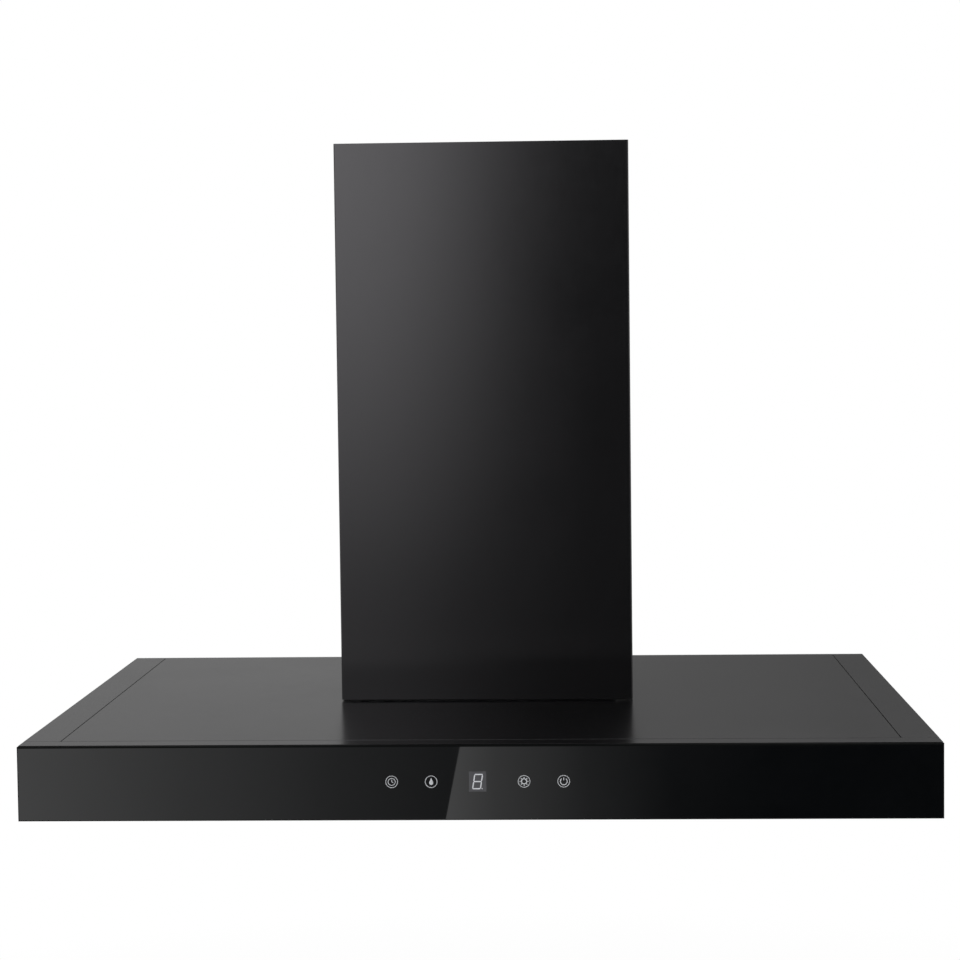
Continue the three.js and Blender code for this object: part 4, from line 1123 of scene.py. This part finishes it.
def seen_share(tree):
    """1 for what the camera sees, straight, mirrored or through glass; 0 for what lights."""
    path = node(tree, "ShaderNodeLightPath")
    seen = maths(tree, "MAXIMUM", path.outputs["Is Camera Ray"], path.outputs["Is Glossy Ray"])
    return maths(tree, "MAXIMUM", seen, path.outputs["Is Transmission Ray"])


def make_world():
    """White to the eye and in reflections; as light, an even soft fill."""
    world = bpy.data.worlds.new("studio")
    bpy.context.scene.world = world
    world.use_nodes = True
    tree = world.node_tree
    strength = remap(tree, seen_share(tree), 0.0, 1.0, 0.45, 1.0)
    background = tree.nodes["Background"]
    background.inputs["Color"].default_value = (1, 1, 1, 1)
    tree.links.new(strength, background.inputs["Strength"])


def stage_card(name, corners, material, seen_by_camera=False):
    """A flat card from four corners in metres, which isn't part of the hood."""
    bm = bmesh.new()
    bm.faces.new([bm.verts.new(c) for c in corners])
    mesh = bpy.data.meshes.new(name)
    bm.to_mesh(mesh)
    bm.free()
    mesh.materials.append(material)
    card = bpy.data.objects.new(name, mesh)
    bpy.context.scene.collection.objects.link(card)
    card.visible_camera = seen_by_camera
    card.visible_shadow = seen_by_camera
    card.visible_diffuse = seen_by_camera
    card.visible_transmission = seen_by_camera
    return card


def mix_shaders(tree, share, a, b):
    """Shader a where share is 0, shader b where it is 1."""
    inputs = {0: share, 1: a.outputs[0], 2: b.outputs[0]}
    return node(tree, "ShaderNodeMixShader", inputs=inputs)


def make_floor():
    """A plain pale floor with the hood's shadow, see-through from below."""
    material = bpy.data.materials.new("pale_floor")
    material.use_nodes = True
    tree = material.node_tree
    tree.nodes.remove(tree.nodes["Principled BSDF"])
    out = tree.nodes["Material Output"]
    paint = node(tree, "ShaderNodeBsdfDiffuse", inputs={"Color": (0.8, 0.8, 0.8, 1)})
    white = node(tree, "ShaderNodeEmission", inputs={"Color": (1, 1, 1, 1), "Strength": 1.0})
    place = node(tree, "ShaderNodeTexCoord").outputs["Object"]
    away = vector_maths(tree, "LENGTH", place).outputs["Value"]
    near, far = 2.2, 4.5  # metres from the hood, between which the floor fades to white
    share = maths(tree, "MULTIPLY", seen_share(tree), remap(tree, away, near, far, 0.85, 1.0))
    lifted = mix_shaders(tree, share, paint, white)
    clear = node(tree, "ShaderNodeBsdfTransparent")
    below = node(tree, "ShaderNodeNewGeometry").outputs["Backfacing"]
    both = mix_shaders(tree, below, lifted, clear)
    tree.links.new(both.outputs[0], out.inputs["Surface"])
    half, z = 12.0, -1.6
    floor = stage_card(
        "floor",
        [(-half, -half, z), (half, -half, z), (half, half, z), (-half, half, z)],
        material,
        True,
    )
    floor.visible_shadow = False


def fade(tree, place, direction, start, end, stops):
    """Brightness of a card along a direction: stops of (share of the way, value)."""
    way = vector_maths(tree, "DOT_PRODUCT", place, direction).outputs["Value"]
    share = remap(tree, way, start, end, 0.0, 1.0)
    ramp = node(tree, "ShaderNodeValToRGB", inputs={0: share})
    points = ramp.color_ramp.elements
    while len(points) < len(stops):
        points.new(0.5)
    for point, (spot, value) in zip(points, stops):
        point.position = spot
        point.color = (value, value, value, 1)
    return ramp.outputs[0]


def glow(name, strength, across, upwards, lighter=False, lean=0.0):
    """A card's light, which fades across and upwards: (start, end, stops) each.

    The two fades are multiplied, and the card is clear where they reach 0. With lighter, the
    lighter of them counts and the card hides all that is behind it. lean carries the fade
    across to the right with the height.
    """
    material = bpy.data.materials.new(name)
    material.use_nodes = True
    tree = material.node_tree
    tree.nodes.remove(tree.nodes["Principled BSDF"])
    place = node(tree, "ShaderNodeTexCoord").outputs["Object"]
    power = maths(
        tree,
        "MAXIMUM" if lighter else "MULTIPLY",
        fade(tree, place, (1, 0, -lean), *across),
        fade(tree, place, (0, 0, 1), *upwards),
    )
    light = node(
        tree, "ShaderNodeEmission", inputs={"Strength": maths(tree, "MULTIPLY", power, strength)}
    )
    result = light.outputs[0]
    if not lighter:
        cover = 12.0  # a card hides all that is behind it from a twelfth of its light on
        hidden = maths(tree, "MINIMUM", maths(tree, "MULTIPLY", power, cover), 1.0)
        clear = node(tree, "ShaderNodeBsdfTransparent").outputs[0]
        behind = node(tree, "ShaderNodeMixShader", inputs={0: hidden, 1: clear}).outputs[0]
        result = node(tree, "ShaderNodeAddShader", inputs={0: result, 1: behind}).outputs[0]
    tree.links.new(result, tree.nodes["Material Output"].inputs["Surface"])
    return material


def area_light(name, place, target, size, watts):
    """A square lamp that looks at its target and shows in no reflection."""
    data = bpy.data.lights.new(name, "AREA")
    data.shape = "SQUARE"
    data.size = size
    data.energy = watts
    lamp = bpy.data.objects.new(name, data)
    bpy.context.scene.collection.objects.link(lamp)
    lamp.location = place
    lamp.rotation_mode = "QUATERNION"
    lamp.rotation_quaternion = (Vector(target) - Vector(place)).to_track_quat("-Z", "Y")
    lamp.visible_camera = False
    lamp.visible_glossy = False


def upright_card(name, y, low, high, material, slant=0.0):
    """A card across the view from (x, z) to (x, z); slant moves its two left corners apart."""
    (x0, z0), (x1, z1) = low, high
    corners = [(x0 - slant, y, z0), (x1, y, z0), (x1, y, z1), (x0 + slant, y, z1)]
    stage_card(name, corners, material)


EVENLY = (0, 1, ((0, 1), (1, 1)))


def make_front_cards():
    """What the chimney and the glass mirror: a dark room, a near softbox and two low cards."""
    front, near = -4.5, -1.28
    across = (-4.0, 4.0, ((0, 1), (0.15, 0.01), (0.85, 0.01), (1, 1)))
    upwards = (1.2, 2.2, ((0, 0.01), (1, 1)))
    dark = glow("dark_flag", 1.0, across, upwards, lighter=True)
    upright_card("dark_flag", front - 0.1, (-4.0, -3.0), (4.0, 2.2), dark)

    across = (-0.306, 0.074, ((0, 1), (0.25, 0.87), (0.75, 0.17), (1, 0)))
    stops = ((0, 0.28), (0.05, 0.22), (0.1, 0.235), (0.38, 0.785), (0.53, 1), (0.62, 1), (1, 0.3))
    soft = glow("near_softbox", 2.7, across, (-0.13, 1.5, stops), lean=0.045)
    upright_card("near_softbox", near, (-1.3, -0.13), (0.14, 1.5), soft)

    across = (-1.7, -0.3, ((0, 1), (0.4, 0.54), (0.75, 0.26), (1, 0.13)))
    left = glow("low_card_left", 1.25, across, EVENLY)
    upright_card("low_card_left", front, (-3.4, -1.16), (-0.24, -0.75), left)

    stops = ((0, 1), (0.12, 0.6), (0.36, 0.21), (0.58, 0.05), (0.85, 0.008), (1, 0))
    patch = glow("low_card_middle", 1.25, (-0.3, 0.9, stops), EVENLY)
    low, high = (-0.2888, -1.16), (1.1, -0.75)
    upright_card("low_card_middle", front + 0.02, low, high, patch, slant=0.042)


def make_far_cards():
    """What the canopy's top mirrors: a softbox overhead and a card behind the hood."""
    left, right, front, back, z = -2.4, -0.37, -2.0, -0.5, 2.4
    corners = [(left, front, z), (right, front, z), (right, back, z), (left, back, z)]
    overhead = glow("overhead_softbox", 2.2, (-0.6, right, ((0, 1), (1, 0.6))), EVENLY)
    stage_card("overhead_softbox", corners, overhead)

    across = (-1.5, 1.1, ((0, 0.425), (0.35, 0.42), (0.7, 0.23), (1, 0.165)))
    upwards = (1.3, 2.2, ((0, 0), (1, 1)))
    rear = glow("rear_card", 1.0, across, upwards, lighter=True)
    upright_card("rear_card", 4.0, (-4.0, -1.5), (4.0, 2.2), rear)


def make_lamps():
    """Plain light from four sides, which no surface mirrors."""
    middle = (0, -0.25, 0.2)
    area_light("key", (-2.4, -2.6, 2.6), middle, 2.2, 75)
    area_light("fill", (2.6, -3.0, 1.2), middle, 2.2, 25)
    area_light("from_behind", (0.5, 3.0, 2.2), middle, 2.2, 45)
    area_light("from_below", (0.3, -1.6, -0.95), (0, -0.25, 0.0), 1.2, 13)


make_camera()
make_world()
make_floor()
make_front_cards()
make_far_cards()
make_lamps()
bpy.context.scene.view_settings.view_transform = "Standard"

bpy.context.view_layer.update()
